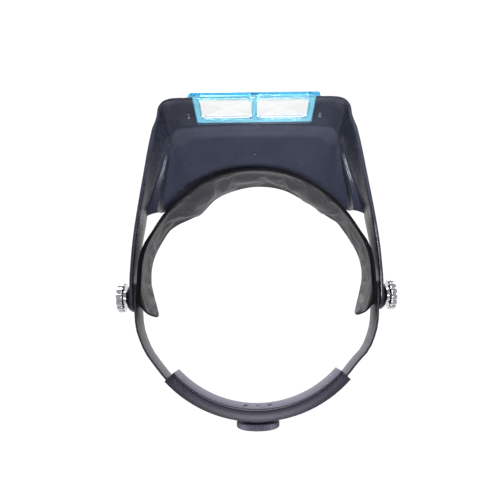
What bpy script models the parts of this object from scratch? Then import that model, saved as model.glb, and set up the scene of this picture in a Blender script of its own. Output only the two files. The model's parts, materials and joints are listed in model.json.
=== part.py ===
"""Head visor magnifier: a tilting hood with a lens plate on a padded, adjustable headband.

Metres. The wearer faces -Y, up is +Z and the wearer's left is +X. The origin is the middle of the
head opening, level with the band's lower edge. Every piece is one named object.
"""
import math

import bmesh
import bpy
from mathutils import Matrix, Vector

MM = 0.001
GAP = 0.3 * MM
MERGE = 0.00001

# Pivots: the bolts' common axis runs along X
PIVOT_Y = 7.6 * MM
PIVOT_Z = 12.0 * MM
BOLT_R = 2.5 * MM
BOLT_HOLE_R = BOLT_R + GAP
ARM_OUT_X = 101.9 * MM
ARM_END_R = 12.0 * MM
NUT_R = 12.3 * MM
NUT_OUT_X = 114.6 * MM
NUT_LOBES = 13

# Hood
HOOD_WALL = 2.2 * MM
LENS_TILT = math.radians(7.2)
LENS_CENTRE = Vector((0.0, -129.6, -41.3)) * MM
NOTCH_HALF_X = 44.6 * MM
NOTCH_TOP_Z = 15.8 * MM
PLATE_BOTTOM_Z = -19.6 * MM
LAND_BOTTOM_Z = -18.6 * MM
LENS_FRONT_Y = -3.0 * MM
LAND_BACK_Y = 1.2 * MM
FLANGE_HALF_X = 48.4 * MM
FLANGE_TOP_Z = 19.0 * MM
WINDOW = Vector((38.0, 27.2)) * MM
WINDOW_X = 21.1 * MM
WINDOW_Z = -3.4 * MM
WINDOW_CORNER_R = 4.0 * MM
EAR_X = 50.0 * MM
EAR_Z = 3.0 * MM
EAR_R = 4.6 * MM
LENS_SCREW_R = 1.2 * MM

# Front band: a superellipse about the pivot axis
BAND_HALF_X = 97.6 * MM
BAND_END_X = 94.6 * MM
BAND_HALF_Y = 106.6 * MM
BAND_POWER = 2.05
BAND_T = 1.8 * MM
BAND_END_R = 9.0 * MM
BAND_END_LOW_Z = -7.0 * MM
BAND_FRONT_Z = (3.0 * MM, 33.0 * MM)
RIVET_AT_X = 48.0 * MM

# Rear arc: straps, housing and cover turn about one vertical axis
ARC_Y = 5.0 * MM
STRAP_T = 1.6 * MM
STRAP_HALF_H = 12.2 * MM
OUTER_LAYER_R = 97.9 * MM
INNER_LAYER_R = OUTER_LAYER_R - STRAP_T - GAP
STRAP_BULGE_R = 99.2 * MM
STRAP_PIVOT_R = 97.6 * MM
HOUSING_ANGLE = math.radians(46.5)
HOUSING_OUT_R = 99.8 * MM
HOUSING_IN_R = 90.1 * MM
SEAM_R = 92.2 * MM
HOUSING_HALF_H = 14.3 * MM
TAIL_PAST_CENTRE = 26.0 * MM
SLOT_HALF_L = 20.5 * MM
EYELET_R = 5.6 * MM

# Rack and pinion
GEAR_MODULE = 1.0 * MM
GEAR_TEETH = 10
GEAR_R = GEAR_MODULE * GEAR_TEETH / 2
PRESSURE = math.radians(25.0)
ADDENDUM = 0.7 * MM
DEDENDUM = 1.0 * MM
BACKLASH = 0.35 * MM
COVER_SCREW_X = 9.5 * MM
SHAFT_R = 2.5 * MM
BOSS_FACE_Y = 105.4 * MM
KNOB_R = 17.0 * MM
KNOB_OUT_Y = 111.6 * MM
KNOB_RIBS = 32


# ---------- scene, collections and materials ----------

def clear_scene():
    for old in list(bpy.data.objects):
        bpy.data.objects.remove(old, do_unlink=True)


def collection(name):
    made = bpy.data.collections.new(name)
    bpy.context.scene.collection.children.link(made)
    return made


def material(name, colour, roughness, metallic=0.0, transmission=0.0):
    made = bpy.data.materials.new(name)
    made.use_nodes = True
    shader = made.node_tree.nodes["Principled BSDF"]
    shader.inputs["Base Color"].default_value = (*colour, 1.0)
    shader.inputs["Roughness"].default_value = roughness
    shader.inputs["Metallic"].default_value = metallic
    shader.inputs["Transmission Weight"].default_value = transmission
    made.diffuse_color = (*colour, 1.0)
    return made


clear_scene()
PARTS = collection("head_visor_magnifier")
CUTTERS = collection("cutters")

LOOKS = {
    "hood_plastic": dict(colour=(0.045, 0.052, 0.075), roughness=0.45),
    "lens_frame_plastic": dict(colour=(0.05, 0.42, 0.85), roughness=0.15, transmission=0.4),
    "lens_glass": dict(colour=(0.95, 0.98, 1.0), roughness=0.02, transmission=1.0),
    "band_fibre": dict(colour=(0.008, 0.008, 0.009), roughness=0.5),
    "pad_leather": dict(colour=(0.10, 0.095, 0.10), roughness=0.5),
    "strap_plastic": dict(colour=(0.14, 0.13, 0.17), roughness=0.4),
    "housing_plastic": dict(colour=(0.055, 0.052, 0.085), roughness=0.45),
    "knob_plastic": dict(colour=(0.05, 0.048, 0.075), roughness=0.5),
    "chrome": dict(colour=(0.8, 0.8, 0.82), roughness=0.12, metallic=1.0),
    "steel": dict(colour=(0.5, 0.5, 0.52), roughness=0.3, metallic=1.0),
    "washer_black": dict(colour=(0.02, 0.02, 0.022), roughness=0.35, metallic=0.6),
    "washer_fibre": dict(colour=(0.12, 0.06, 0.035), roughness=0.8),
    "bush_plastic": dict(colour=(0.7, 0.7, 0.68), roughness=0.5),
}


# ---------- making solids ----------

def add_part(name, mesh, look):
    """Put a mesh in the parts collection as one named object with its own material."""
    mesh.name = name
    made = bpy.data.objects.new(name, mesh)
    PARTS.objects.link(made)
    mesh.materials.clear()
    mesh.materials.append(material(name, **LOOKS[look]))
    mesh.shade_smooth()
    mesh.set_sharp_from_angle(angle=math.radians(35))
    return made


def add_cutter(name, mesh):
    made = bpy.data.objects.new(name, mesh)
    CUTTERS.objects.link(made)
    made.hide_render = True
    made.display_type = "WIRE"
    return made


def boolean(target, tool, operation="DIFFERENCE", solver="EXACT"):
    step = target.modifiers.new(tool.name, "BOOLEAN")
    step.object = tool
    step.operation = operation
    step.solver = solver


def mesh_from(bm, name="shape"):
    bmesh.ops.recalc_face_normals(bm, faces=bm.faces)
    mesh = bpy.data.meshes.new(name)
    bm.to_mesh(mesh)
    bm.free()
    return mesh


def block(size, centre):
    bm = bmesh.new()
    bmesh.ops.create_cube(bm, size=1.0)
    bmesh.ops.scale(bm, vec=size, verts=bm.verts)
    bmesh.ops.translate(bm, vec=centre, verts=bm.verts)
    return mesh_from(bm)


def rods(axis, radius, length, centres, segments=24):
    """Cylinders of one size along one axis, as one mesh."""
    turn = Vector((0, 0, 1)).rotation_difference(Vector(axis)).to_matrix().to_4x4()
    bm = bmesh.new()
    for centre in centres:
        bmesh.ops.create_cone(bm, cap_ends=True, segments=segments, radius1=radius, radius2=radius,
                              depth=length, matrix=Matrix.Translation(centre) @ turn)
    return mesh_from(bm)


def turned(name, look, profile, place, axis, segments=24):
    """A Screw-turned solid. Its profile is (radius, height) pairs, down the outer side from the top."""
    bm = bmesh.new()
    points = [bm.verts.new((radius, 0.0, height)) for radius, height in profile]
    for first, second in zip(points, points[1:]):
        bm.edges.new((first, second))
    if profile[0][0] > 0:
        bm.edges.new((points[-1], points[0]))
    mesh = bpy.data.meshes.new(name)
    bm.to_mesh(mesh)
    bm.free()
    made = add_part(name, mesh, look)
    spin = made.modifiers.new("turn", "SCREW")
    spin.steps = segments
    spin.render_steps = segments
    spin.use_merge_vertices = True
    spin.merge_threshold = MERGE
    made.location = place
    made.rotation_euler = Vector((0, 0, 1)).rotation_difference(Vector(axis)).to_euler()
    return made


def ring(name, look, inner, outer, thick, place, axis, segments=24):
    half = thick / 2
    profile = [(inner, half), (outer, half), (outer, -half), (inner, -half)]
    return turned(name, look, profile, place, axis, segments)


def outline_mesh(name, outlines, thickness):
    """Flat outlines, the later ones holes, extruded to both sides of the XY plane."""
    curve = bpy.data.curves.new(name, "CURVE")
    curve.dimensions = "2D"
    curve.fill_mode = "BOTH"
    curve.extrude = thickness / 2
    for outline in outlines:
        spline = curve.splines.new("POLY")
        spline.points.add(len(outline) - 1)
        spline.use_cyclic_u = True
        for point, (x, y) in zip(spline.points, outline):
            point.co = (x, y, 0.0, 1.0)
    flat = bpy.data.objects.new(name, curve)
    bpy.context.scene.collection.objects.link(flat)
    depsgraph = bpy.context.evaluated_depsgraph_get()
    mesh = bpy.data.meshes.new_from_object(flat.evaluated_get(depsgraph))
    bpy.data.objects.remove(flat, do_unlink=True)
    bm = bmesh.new()
    bm.from_mesh(mesh)
    bmesh.ops.remove_doubles(bm, verts=bm.verts, dist=MERGE)
    bpy.data.meshes.remove(mesh)
    return mesh_from(bm, name)


def circle_points(radius, count, centre=(0.0, 0.0)):
    angles = [2 * math.pi * step / count for step in range(count)]
    return [(centre[0] + radius * math.cos(a), centre[1] + radius * math.sin(a)) for a in angles]


def rounded_rectangle(width, height, radius, centre_x=0.0, steps=4):
    points = []
    corners = ((1, 1, 0), (-1, 1, 90), (-1, -1, 180), (1, -1, 270))
    for side_x, side_y, start in corners:
        for step in range(steps + 1):
            angle = math.radians(start + 90 * step / steps)
            x = centre_x + side_x * (width / 2 - radius) + radius * math.cos(angle)
            points.append((x, side_y * (height / 2 - radius) + radius * math.sin(angle)))
    return points


def strip(name, look, plan, z_range, thickness, offset):
    """A standing band: a plan line raised between two heights, then thickened with Solidify."""
    bm = bmesh.new()
    low = [bm.verts.new((x, y, z_range(x, y)[0])) for x, y in plan]
    edges = [bm.edges.new(pair) for pair in zip(low, low[1:])]
    raised = bmesh.ops.extrude_edge_only(bm, edges=edges)["geom"]
    for vert in (item for item in raised if isinstance(item, bmesh.types.BMVert)):
        vert.co.z = z_range(vert.co.x, vert.co.y)[1]
    mesh = bpy.data.meshes.new(name)
    bm.to_mesh(mesh)
    bm.free()
    made = add_part(name, mesh, look)
    thicken = made.modifiers.new("thickness", "SOLIDIFY")
    thicken.thickness = thickness
    thicken.offset = offset
    thicken.use_even_offset = True
    return made


def arc_sweep(name, profile, start, end, steps):
    """A (radius, height) outline swept about the rear arc's vertical axis; angles run from +Y."""
    bm = bmesh.new()
    corners = [(radius * math.sin(start), ARC_Y + radius * math.cos(start), z) for radius, z in profile]
    face = bm.faces.new([bm.verts.new(corner) for corner in corners])
    geom = [face, *face.edges, *face.verts]
    bmesh.ops.spin(bm, geom=geom, cent=(0, ARC_Y, 0), axis=(0, 0, -1), angle=end - start,
                   steps=steps, use_merge=False)
    return mesh_from(bm, name)


def loft(name, rails, wings=()):
    """An open surface of quads between rails of one length; wings run on past the end of two rails."""
    bm = bmesh.new()
    rows = [[bm.verts.new(point) for point in rail] for rail in rails]
    for first, second in zip(rows, rows[1:]):
        for step in range(len(first) - 1):
            bm.faces.new((first[step], first[step + 1], second[step + 1], second[step]))
    for row_a, row_b, points in wings:
        last_a, last_b = rows[row_a][-1], rows[row_b][-1]
        for low, high in points:
            next_a, next_b = bm.verts.new(low), bm.verts.new(high)
            bm.faces.new((last_a, next_a, next_b, last_b))
            last_a, last_b = next_a, next_b
    mesh = bpy.data.meshes.new(name)
    bm.to_mesh(mesh)
    bm.free()
    return mesh


# ---------- hood and lens plate ----------

# Stations from the middle of the front round the corner to the side wall's rear end, in mm
HOOD_RIM = ((0, -131.8, -60), (30, -131.6, -60), (54.4, -131.6, -60), (61.8, -131.2, -60), (66.9, -128.8, -60),
            (69.4, -123.9, -60), (70.0, -117.9, -59.8), (71.4, -113.0, -59.5), (73.3, -109.0, -59),
            (78.0, -97.7, -51), (83.6, -82.0, -38.7), (88.6, -69.2, -28.4), (93.3, -56.2, -18))
HOOD_STEP_LOW = ((0, -129.2, -39), (30, -129.0, -39), (54.2, -128.9, -39), (61.8, -128.3, -39),
                 (66.9, -125.9, -38), (69.5, -121.2, -36), (70.5, -116.0, -31), (72.6, -111.8, -20),
                 (74.8, -107.6, -12), (78.7, -97.5, -8), (83.9, -83.0, -3), (88.6, -71.8, 4), (93.4, -61.8, 12))
HOOD_STEP_HIGH = ((0, -127.0, -21.5), (30, -126.9, -21.5), (53.4, -126.5, -21.5), (60.4, -125.6, -21),
                  (65.0, -123.3, -20.5), (67.8, -119.6, -19.5), (69.4, -115.0, -17), (70.6, -111.8, -14),
                  (72.0, -108.4, -9), (75.2, -98.6, -5), (79.2, -84.6, 0), (82.6, -74.6, 7), (85.4, -65.0, 14))
ROOF_FRONT = ((0, -123.5, -17), (30, -123.4, -17), (52, -123.0, -16.8), (59, -122.2, -16.5),
              (63.5, -120.3, -16), (66.3, -117.3, -15), (68.3, -113.5, -12.5), (70.0, -110.8, -9),
              (71.6, -108.0, -3.5), (75.0, -101.0, 5), (78.8, -90.5, 15), (82.0, -79.0, 23), (84.3, -67.0, 28))
ROOF_REAR = ((0, -104.0, 39), (26, -101.5, 39), (44, -96.0, 39), (52, -92.0, 38.7), (57.5, -88.7, 38.3),
             (62, -85.6, 37.8), (65.5, -82.9, 37.2), (68.3, -80.5, 36.6), (70.8, -78.2, 36),
             (74.5, -74.8, 34.8), (77.6, -71.9, 33.6), (80.2, -70.6, 32.4), (82.4, -69.2, 31))
# The arm runs on from the side wall: outer face x, y, lower and upper edge, in mm
ARM = ((95.0, -51.0, -14.5, 13.5), (96.9, -42.0, -11.5, 14.5), (98.9, -30.0, -8.5, 16), (100.4, -18.0, -5, 18.5),
       (101.9, -6.0, -1.5, 22.5))


def in_metres(points):
    return [Vector(point) * MM for point in points]


def arm_rows():
    """Pairs of lower and upper points along the arm, ending in a half circle about the pivot."""
    rows = [(Vector((x, y, low)) * MM, Vector((x, y, high)) * MM) for x, y, low, high in ARM]
    for degrees in (0, 20, 40, 58, 73, 84):
        angle = math.radians(degrees)
        y = PIVOT_Y + ARM_END_R * math.sin(angle)
        rise = ARM_END_R * math.cos(angle)
        rows.append((Vector((ARM_OUT_X, y, PIVOT_Z - rise)), Vector((ARM_OUT_X, y, PIVOT_Z + rise))))
    return rows


def on_lens_plane(piece):
    """Stand a piece on the lens plate's own axes: X across, Z up the plate, -Y out of its front."""
    piece.location = LENS_CENTRE
    piece.rotation_euler = (-LENS_TILT, 0, 0)
    return piece


def make_hood():
    rails = [in_metres(rail) for rail in (HOOD_RIM, HOOD_STEP_LOW, HOOD_STEP_HIGH, ROOF_FRONT, ROOF_REAR)]
    middle = [(front + rear) / 2 for front, rear in zip(rails[3], rails[4])]
    for point, bulge in zip(middle, (2.0, 2.0, 2.0, 1.8, 1.5, 1.2, 1.0, 0.8, 0.6, 0.4, 0.3, 0.2, 0.0)):
        point += Vector((0, -bulge, bulge * 0.4)) * MM
    rails.insert(4, middle)
    hood = add_part("hood_shell", loft("hood_shell", rails, [(0, 1, arm_rows())]), "hood_plastic")
    mirror = hood.modifiers.new("both sides", "MIRROR")
    mirror.merge_threshold = 0.0001
    wall = hood.modifiers.new("wall", "SOLIDIFY")
    wall.thickness = HOOD_WALL
    wall.offset = -1.0
    wall.use_even_offset = True
    wall.use_quality_normals = True
    notch_size = (2 * NOTCH_HALF_X, 16 * MM, NOTCH_TOP_Z + 40 * MM)
    notch = add_cutter("lens_notch", block(notch_size, (0, 0, NOTCH_TOP_Z - notch_size[2] / 2)))
    boolean(hood, on_lens_plane(notch))
    screw_holes = rods((0, 1, 0), LENS_SCREW_R + GAP, 16 * MM, [(s * EAR_X, 0, EAR_Z) for s in (-1, 1)])
    boolean(hood, on_lens_plane(add_cutter("lens_screw_holes", screw_holes)))
    pivot_holes = rods((1, 0, 0), BOLT_HOLE_R, 0.24, [(0, PIVOT_Y, PIVOT_Z)])
    boolean(hood, add_cutter("hood_pivot_holes", pivot_holes))
    hood.location = (0, PIVOT_Y, PIVOT_Z)
    hood.data.transform(Matrix.Translation((0, -PIVOT_Y, -PIVOT_Z)))


def make_lens_plate():
    """The frame's flange and ears lie in front of the hood's wall and its body fills the notch."""
    turn_up = Matrix.Rotation(math.radians(90), 4, "X")
    flange_y = (LENS_FRONT_Y - GAP) / 2
    flange_depth = -GAP - LENS_FRONT_Y
    land_depth = LAND_BACK_Y - flange_y
    land_height = NOTCH_TOP_Z - GAP - LAND_BOTTOM_Z
    land = block((2 * (NOTCH_HALF_X - GAP), land_depth, land_height),
                 (0, LAND_BACK_Y - land_depth / 2, LAND_BOTTOM_Z + land_height / 2))
    frame = on_lens_plane(add_part("lens_frame", land, "lens_frame_plastic"))
    flange_height = FLANGE_TOP_Z - PLATE_BOTTOM_Z
    flange = block((2 * FLANGE_HALF_X, flange_depth, flange_height),
                   (0, flange_y, PLATE_BOTTOM_Z + flange_height / 2))
    boolean(frame, on_lens_plane(add_cutter("lens_flange", flange)), "UNION")
    ears = rods((0, 1, 0), EAR_R, flange_depth - 0.4 * MM, [(s * EAR_X, flange_y, EAR_Z) for s in (-1, 1)])
    boolean(frame, on_lens_plane(add_cutter("lens_ears", ears)), "UNION")
    holes = rods((0, 1, 0), LENS_SCREW_R + GAP, 16 * MM, [(s * EAR_X, 0, EAR_Z) for s in (-1, 1)])
    boolean(frame, on_lens_plane(add_cutter("ear_holes", holes)))
    for name, side in (("left", 1), ("right", -1)):
        outline = rounded_rectangle(WINDOW.x, WINDOW.y, WINDOW_CORNER_R, side * WINDOW_X)
        window = outline_mesh("window_" + name, [outline], 20 * MM)
        window.transform(Matrix.Translation((0, 0, WINDOW_Z)) @ turn_up)
        boolean(frame, on_lens_plane(add_cutter("window_" + name, window)))
    for name, side in (("left", 1), ("right", -1)):
        outline = rounded_rectangle(WINDOW.x - 2 * GAP, WINDOW.y - 2 * GAP, WINDOW_CORNER_R, side * WINDOW_X)
        lens = outline_mesh("lens_" + name, [outline], 4.0 * MM)
        lens.transform(Matrix.Translation((0, -1.4 * MM, WINDOW_Z)) @ turn_up)
        on_lens_plane(add_part("lens_" + name, lens, "lens_glass"))
        head_top = LENS_FRONT_Y - GAP
        profile = [(0, 1.5), (1.8, 1.2), (2.6, 0.4), (2.6, 0), (1.2, 0), (1.2, -7.6), (0, -7.6)]
        screw = turned("lens_screw_" + name, "steel", [(r * MM, z * MM) for r, z in profile],
                       (0, 0, 0), (0, -1, 0), 16)
        tilt = Matrix.Rotation(-LENS_TILT, 4, "X")
        place = Matrix.Translation(LENS_CENTRE) @ tilt @ Matrix.Translation((side * EAR_X, head_top, EAR_Z))
        screw.matrix_world = place @ Matrix.Rotation(math.radians(90), 4, "X")


# ---------- front band, pad and rivets ----------

def band_line(inset, degrees):
    """A point on the band's plan line: a superellipse whose ends are drawn in towards the pivots."""
    angle = math.radians(degrees)
    y = PIVOT_Y - (BAND_HALF_Y - inset) * abs(math.cos(angle)) ** (2 / BAND_POWER)
    x = (BAND_HALF_X - inset) * abs(math.sin(angle)) ** (2 / BAND_POWER)
    blend = min(max((y + 36 * MM) / (PIVOT_Y + 36 * MM), 0.0), 1.0)
    x -= (BAND_HALF_X - BAND_END_X) * blend * blend * (3 - 2 * blend)
    return math.copysign(x, math.sin(angle)), y


def band_plan(steps=38):
    """The band's outer line from its right end round the front to its left end."""
    front = [band_line(0, -90 + 180 * step / steps) for step in range(1, steps)]
    ends = [(BAND_END_X - 0.3 * MM * math.sin(math.radians(a)), PIVOT_Y + BAND_END_R * math.sin(math.radians(a)))
            for a in (0, 20, 40, 60, 76, 86)]
    right = [(-x, y) for x, y in reversed(ends)]
    return right + front + ends


def band_z(x, y):
    """The band hangs low round the pivots, where its ends are round, and rises to the front."""
    if y > PIVOT_Y:
        share = math.sqrt(max(1 - ((y - PIVOT_Y) / BAND_END_R) ** 2, 0.0))
        return PIVOT_Z - (PIVOT_Z - BAND_END_LOW_Z) * share, PIVOT_Z + BAND_END_R * share
    low_blend = smooth_step(-y, 26 * MM, 50 * MM)
    low = BAND_END_LOW_Z * (1 - low_blend) + BAND_FRONT_Z[0] * low_blend
    blend = smooth_step(PIVOT_Y - y, 0, 60 * MM)
    return low, (PIVOT_Z + BAND_END_R) * (1 - blend) + BAND_FRONT_Z[1] * blend


def rivet_frame():
    """Where the left rivet crosses the band's outer face, and the band's outward normal there."""
    share = (RIVET_AT_X / BAND_HALF_X) ** BAND_POWER
    drop = (1 - share) ** (1 / BAND_POWER)
    place = Vector((RIVET_AT_X, PIVOT_Y - BAND_HALF_Y * drop, 18 * MM))
    slope_x = (RIVET_AT_X / BAND_HALF_X) ** (BAND_POWER - 1) / BAND_HALF_X
    slope_y = drop ** (BAND_POWER - 1) / BAND_HALF_Y
    return place, Vector((slope_x, -slope_y, 0)).normalized()


def make_band():
    band = strip("front_band", "band_fibre", band_plan(), band_z, BAND_T, 1.0)
    holes = rods((1, 0, 0), BOLT_HOLE_R, 0.22, [(0, PIVOT_Y, PIVOT_Z)])
    boolean(band, add_cutter("band_pivot_holes", holes))
    place, normal = rivet_frame()
    for name, side in (("left", 1), ("right", -1)):
        spot, axis = Vector((side * place.x, place.y, place.z)), (side * normal.x, normal.y, 0)
        cutter = add_cutter("rivet_hole_" + name, rods(axis, 1.5 * MM, 8 * MM, [spot], 16))
        boolean(band, cutter)
        profile = [(0, 1.0), (1.6, 0.8), (2.6, 0), (2.6, -0.3), (1.2, -0.3), (1.2, -3.6), (0, -3.6)]
        turned("pad_rivet_" + name, "steel", [(r * MM, (z + 0.6) * MM) for r, z in profile],
               spot, axis, 16)


# The pad's inner face from the middle of the forehead to each tail's end, in mm; the leather on the
# wearer's right has settled into a fold
PAD_INNER_LEFT = ((0, -91.9), (14, -91.2), (27.1, -87.8), (35.7, -83.3), (43.9, -78.2), (51.7, -73), (59.2, -67.2),
                  (67.2, -61.8), (75.4, -56.3), (82, -48.8), (86, -39.5), (88.6, -29.6), (90, -19.6), (90.2, -9.7),
                  (89.2, 0), (86.8, 9), (83.8, 17))
PAD_INNER_RIGHT = ((0, -91.9), (11.4, -90.3), (20.7, -87.7), (29.6, -84.2), (37.6, -79.1), (44.2, -72),
                   (51.1, -66.3), (59.5, -62.3), (68.6, -58.1), (76.8, -52.2), (82.4, -44), (85.8, -34.5),
                   (88.4, -24.9), (89.6, -15.2), (89, -5.4), (87.4, 3.9), (84.8, 12.9), (83.6, 17))
PAD_TIP = ((82.5, 20.5), (82.9, 22.8), (84.8, 23.9), (87.4, 22.4))
PAD_TAIL_OUTER = ((89.3, 17.0), (90.1, 13.8), (90.2, 3), (91.8, 0.5), (92.3, -6))
PAD_FRONT_Z = (-7.5 * MM, 37.5 * MM)
# Side views, as y and z: the top edge drops behind the forehead, the lower edge hangs lower at the
# temples, and each tail's end is round below
PAD_TOP_DROP = ((-52, 42), (-52, 37.6), (-40, 34.5), (-26, 27.5), (-14, 25), (30, 25.5), (30, 42))
PAD_FRONT_RISE = ((-130, -10), (-24, -10), (-24, -8.2), (-34, -5.8), (-42, -2.4), (-50, -0.5), (-130, -0.5))
PAD_TAIL_RISE = ((13, -10), (34, -10), (34, 22), (24.5, 21), (23.8, 12), (21, 3), (16.5, -5))


def make_pad():
    """A plain closed solid of the pad's size; its outer face follows the band's inner face."""
    inset = BAND_T + 1.6 * GAP
    steps = 16
    outer = [band_line(inset, 76 * step / steps) for step in range(steps + 1)]
    left = [(x * MM, y * MM) for x, y in PAD_INNER_LEFT + PAD_TIP + PAD_TAIL_OUTER] + outer[:0:-1]
    right = [(-x * MM, y * MM) for x, y in PAD_INNER_RIGHT + PAD_TIP + PAD_TAIL_OUTER]
    right += [(-x, y) for x, y in outer[:0:-1]]
    outline = left + [outer[0]] + right[:0:-1]
    mesh = outline_mesh("forehead_pad", [outline], PAD_FRONT_Z[1] - PAD_FRONT_Z[0])
    mesh.transform(Matrix.Translation((0, 0, sum(PAD_FRONT_Z) / 2)))
    pad = add_part("forehead_pad", mesh, "pad_leather")
    side_views = (("pad_top_drop", PAD_TOP_DROP), ("pad_front_rise", PAD_FRONT_RISE),
                  ("pad_tail_rise", PAD_TAIL_RISE))
    for name, side_view in side_views:
        waste = outline_mesh(name, [[(y * MM, z * MM) for y, z in side_view]], 240 * MM)
        waste.transform(Matrix.Rotation(math.radians(90), 4, "Z") @ Matrix.Rotation(math.radians(90), 4, "X"))
        boolean(pad, add_cutter(name, waste), solver="MANIFOLD")
    place, normal = rivet_frame()
    for name, side in (("left", 1), ("right", -1)):
        spot, axis = Vector((side * place.x, place.y, place.z)), (side * normal.x, normal.y, 0)
        boolean(pad, add_cutter("rivet_pocket_" + name, rods(axis, 1.6 * MM, 7.4 * MM, [spot], 16)))


# ---------- pivots ----------

def make_pivots():
    """Bolt, bush, washers and star nut, outwards along X on each side."""
    for name, side in (("left", 1), ("right", -1)):
        axis = (side, 0, 0)
        centre = Vector((0, PIVOT_Y, PIVOT_Z))

        def at(x):
            return centre + Vector((side * x * MM, 0, 0))

        head_x = BAND_END_X / MM - BAND_T / MM - 0.3
        shank = 111.4 - head_x
        profile = [(0, shank), (2.1, shank), (2.5, shank - 0.4), (2.5, 0), (5.4, 0), (5.4, -0.8), (3.4, -1.6),
                   (0, -1.9)]
        turned("pivot_bolt_" + name, "steel", [(r * MM, z * MM) for r, z in profile], at(head_x), axis)
        ring("pivot_spacer_" + name, "bush_plastic", BOLT_HOLE_R, 4.8 * MM, 3.2 * MM, at(96.5), axis)
        ring("friction_washer_" + name, "washer_fibre", BOLT_HOLE_R, 4.8 * MM, 0.6 * MM, at(98.7), axis)
        profile = [(2.8, 2.4), (6.4, 2.4), (9.4, 1.2), (11.0, -0.4), (11.2, -1.3), (10.0, -1.3), (8.4, -0.1),
                   (5.8, 1.0), (2.8, 1.0)]
        turned("dished_washer_" + name, "washer_black", [(r * MM, z * MM) for r, z in profile],
               at(103.5), axis)
        make_star_nut("pivot_nut_" + name, at(0), axis, side)


def make_star_nut(name, centre, axis, side):
    """A chrome nut: a round neck against the washer and a lobed, domed head."""
    rim = NUT_R / MM
    profile = [(2.8, 9.0), (6.0, 9.0), (9.0, 8.5), (rim - 0.9, 7.4), (rim, 5.8), (rim, 3.4), (rim - 1.1, 2.2),
               (5.6, 2.0), (5.6, 0.6), (2.8, 0.6)]
    place = centre + Vector((side * (NUT_OUT_X - 9.0 * MM), 0, 0))
    nut = turned(name, "chrome", [(r * MM, z * MM) for r, z in profile], place, axis, 39)
    spots = circle_points(NUT_R + 0.8 * MM, NUT_LOBES, (PIVOT_Y, PIVOT_Z))
    notches = rods((1, 0, 0), 1.85 * MM, 14 * MM, [(place.x + side * 4 * MM, y, z) for y, z in spots], 10)
    boolean(nut, add_cutter(name + "_notches", notches))


# ---------- rear straps, housing and adjuster ----------

def smooth_step(value, start, end):
    share = min(max((value - start) / (end - start), 0.0), 1.0)
    return share * share * (3 - 2 * share)


def strap_radius(angle, outer_layer):
    """A strap's middle radius: its layer in the housing, a slight bulge, then the pivot's radius."""
    layer = OUTER_LAYER_R if outer_layer else INNER_LAYER_R
    out = smooth_step(math.degrees(angle), 53, 64)
    back = smooth_step(math.degrees(angle), 72, 84)
    return layer + (STRAP_BULGE_R - layer) * out + (STRAP_PIVOT_R - STRAP_BULGE_R) * back


def rack_slot(teeth_up):
    """The slot in a strap's tail seen along Y: plain on one long edge, toothed on the other."""
    pitch = math.pi * GEAR_MODULE
    half_space = pitch / 4 + BACKLASH / 4
    root, tip = GEAR_R + DEDENDUM, GEAR_R - ADDENDUM
    slope = math.tan(PRESSURE)
    toothed = []
    for tooth in range(-4, 5):
        middle = tooth * pitch
        wide, narrow = half_space + ADDENDUM * slope, half_space - DEDENDUM * slope
        toothed += [(middle - wide, tip), (middle - narrow, root), (middle + narrow, root), (middle + wide, tip)]
    toothed = [(-SLOT_HALF_L, tip)] + toothed + [(SLOT_HALF_L, tip)]
    plain = GEAR_R + ADDENDUM + 0.6 * MM
    outline = toothed + [(SLOT_HALF_L, -plain), (-SLOT_HALF_L, -plain)]
    return [(x, y if teeth_up else -y) for x, y in outline]


def make_strap(name, side, outer_layer):
    """A strap from its round eyelet at the pivot to its tail past the pinion, in the housing."""
    tail = -TAIL_PAST_CENTRE / OUTER_LAYER_R
    pivot_angle = math.pi / 2 - math.asin((PIVOT_Y - ARC_Y) / OUTER_LAYER_R)
    end_angles = [pivot_angle + STRAP_HALF_H * math.sin(math.radians(a)) / OUTER_LAYER_R
                  for a in (0, 22, 44, 62, 76, 85)]
    steps = 26
    angles = [tail + (end_angles[0] - tail) * step / steps for step in range(steps)] + end_angles
    plan = []
    for angle in angles:
        radius = strap_radius(angle, outer_layer)
        plan.append((side * radius * math.sin(angle), ARC_Y + radius * math.cos(angle)))

    def heights(x, y):
        along = (math.atan2(abs(x), y - ARC_Y) - pivot_angle) * OUTER_LAYER_R
        rise = math.sqrt(max(STRAP_HALF_H ** 2 - max(along, 0.0) ** 2, 0.0)) if side * x > 0 else STRAP_HALF_H
        return PIVOT_Z - rise, PIVOT_Z + rise

    strap = strip(name, "strap_plastic", plan, heights, STRAP_T, 0.0)
    slot = outline_mesh(name + "_slot", [rack_slot(outer_layer)], 12 * MM)
    slot.transform(Matrix.Translation((0, 100 * MM, PIVOT_Z)) @ Matrix.Rotation(math.radians(90), 4, "X"))
    boolean(strap, add_cutter(name + "_slot", slot))
    eyelet = rods((1, 0, 0), EYELET_R, 30 * MM, [(side * OUTER_LAYER_R, PIVOT_Y, PIVOT_Z)])
    boolean(strap, add_cutter(name + "_eyelet", eyelet))
    strap.location = (0, ARC_Y, 0)
    strap.data.transform(Matrix.Translation((0, -ARC_Y, 0)))


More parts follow.
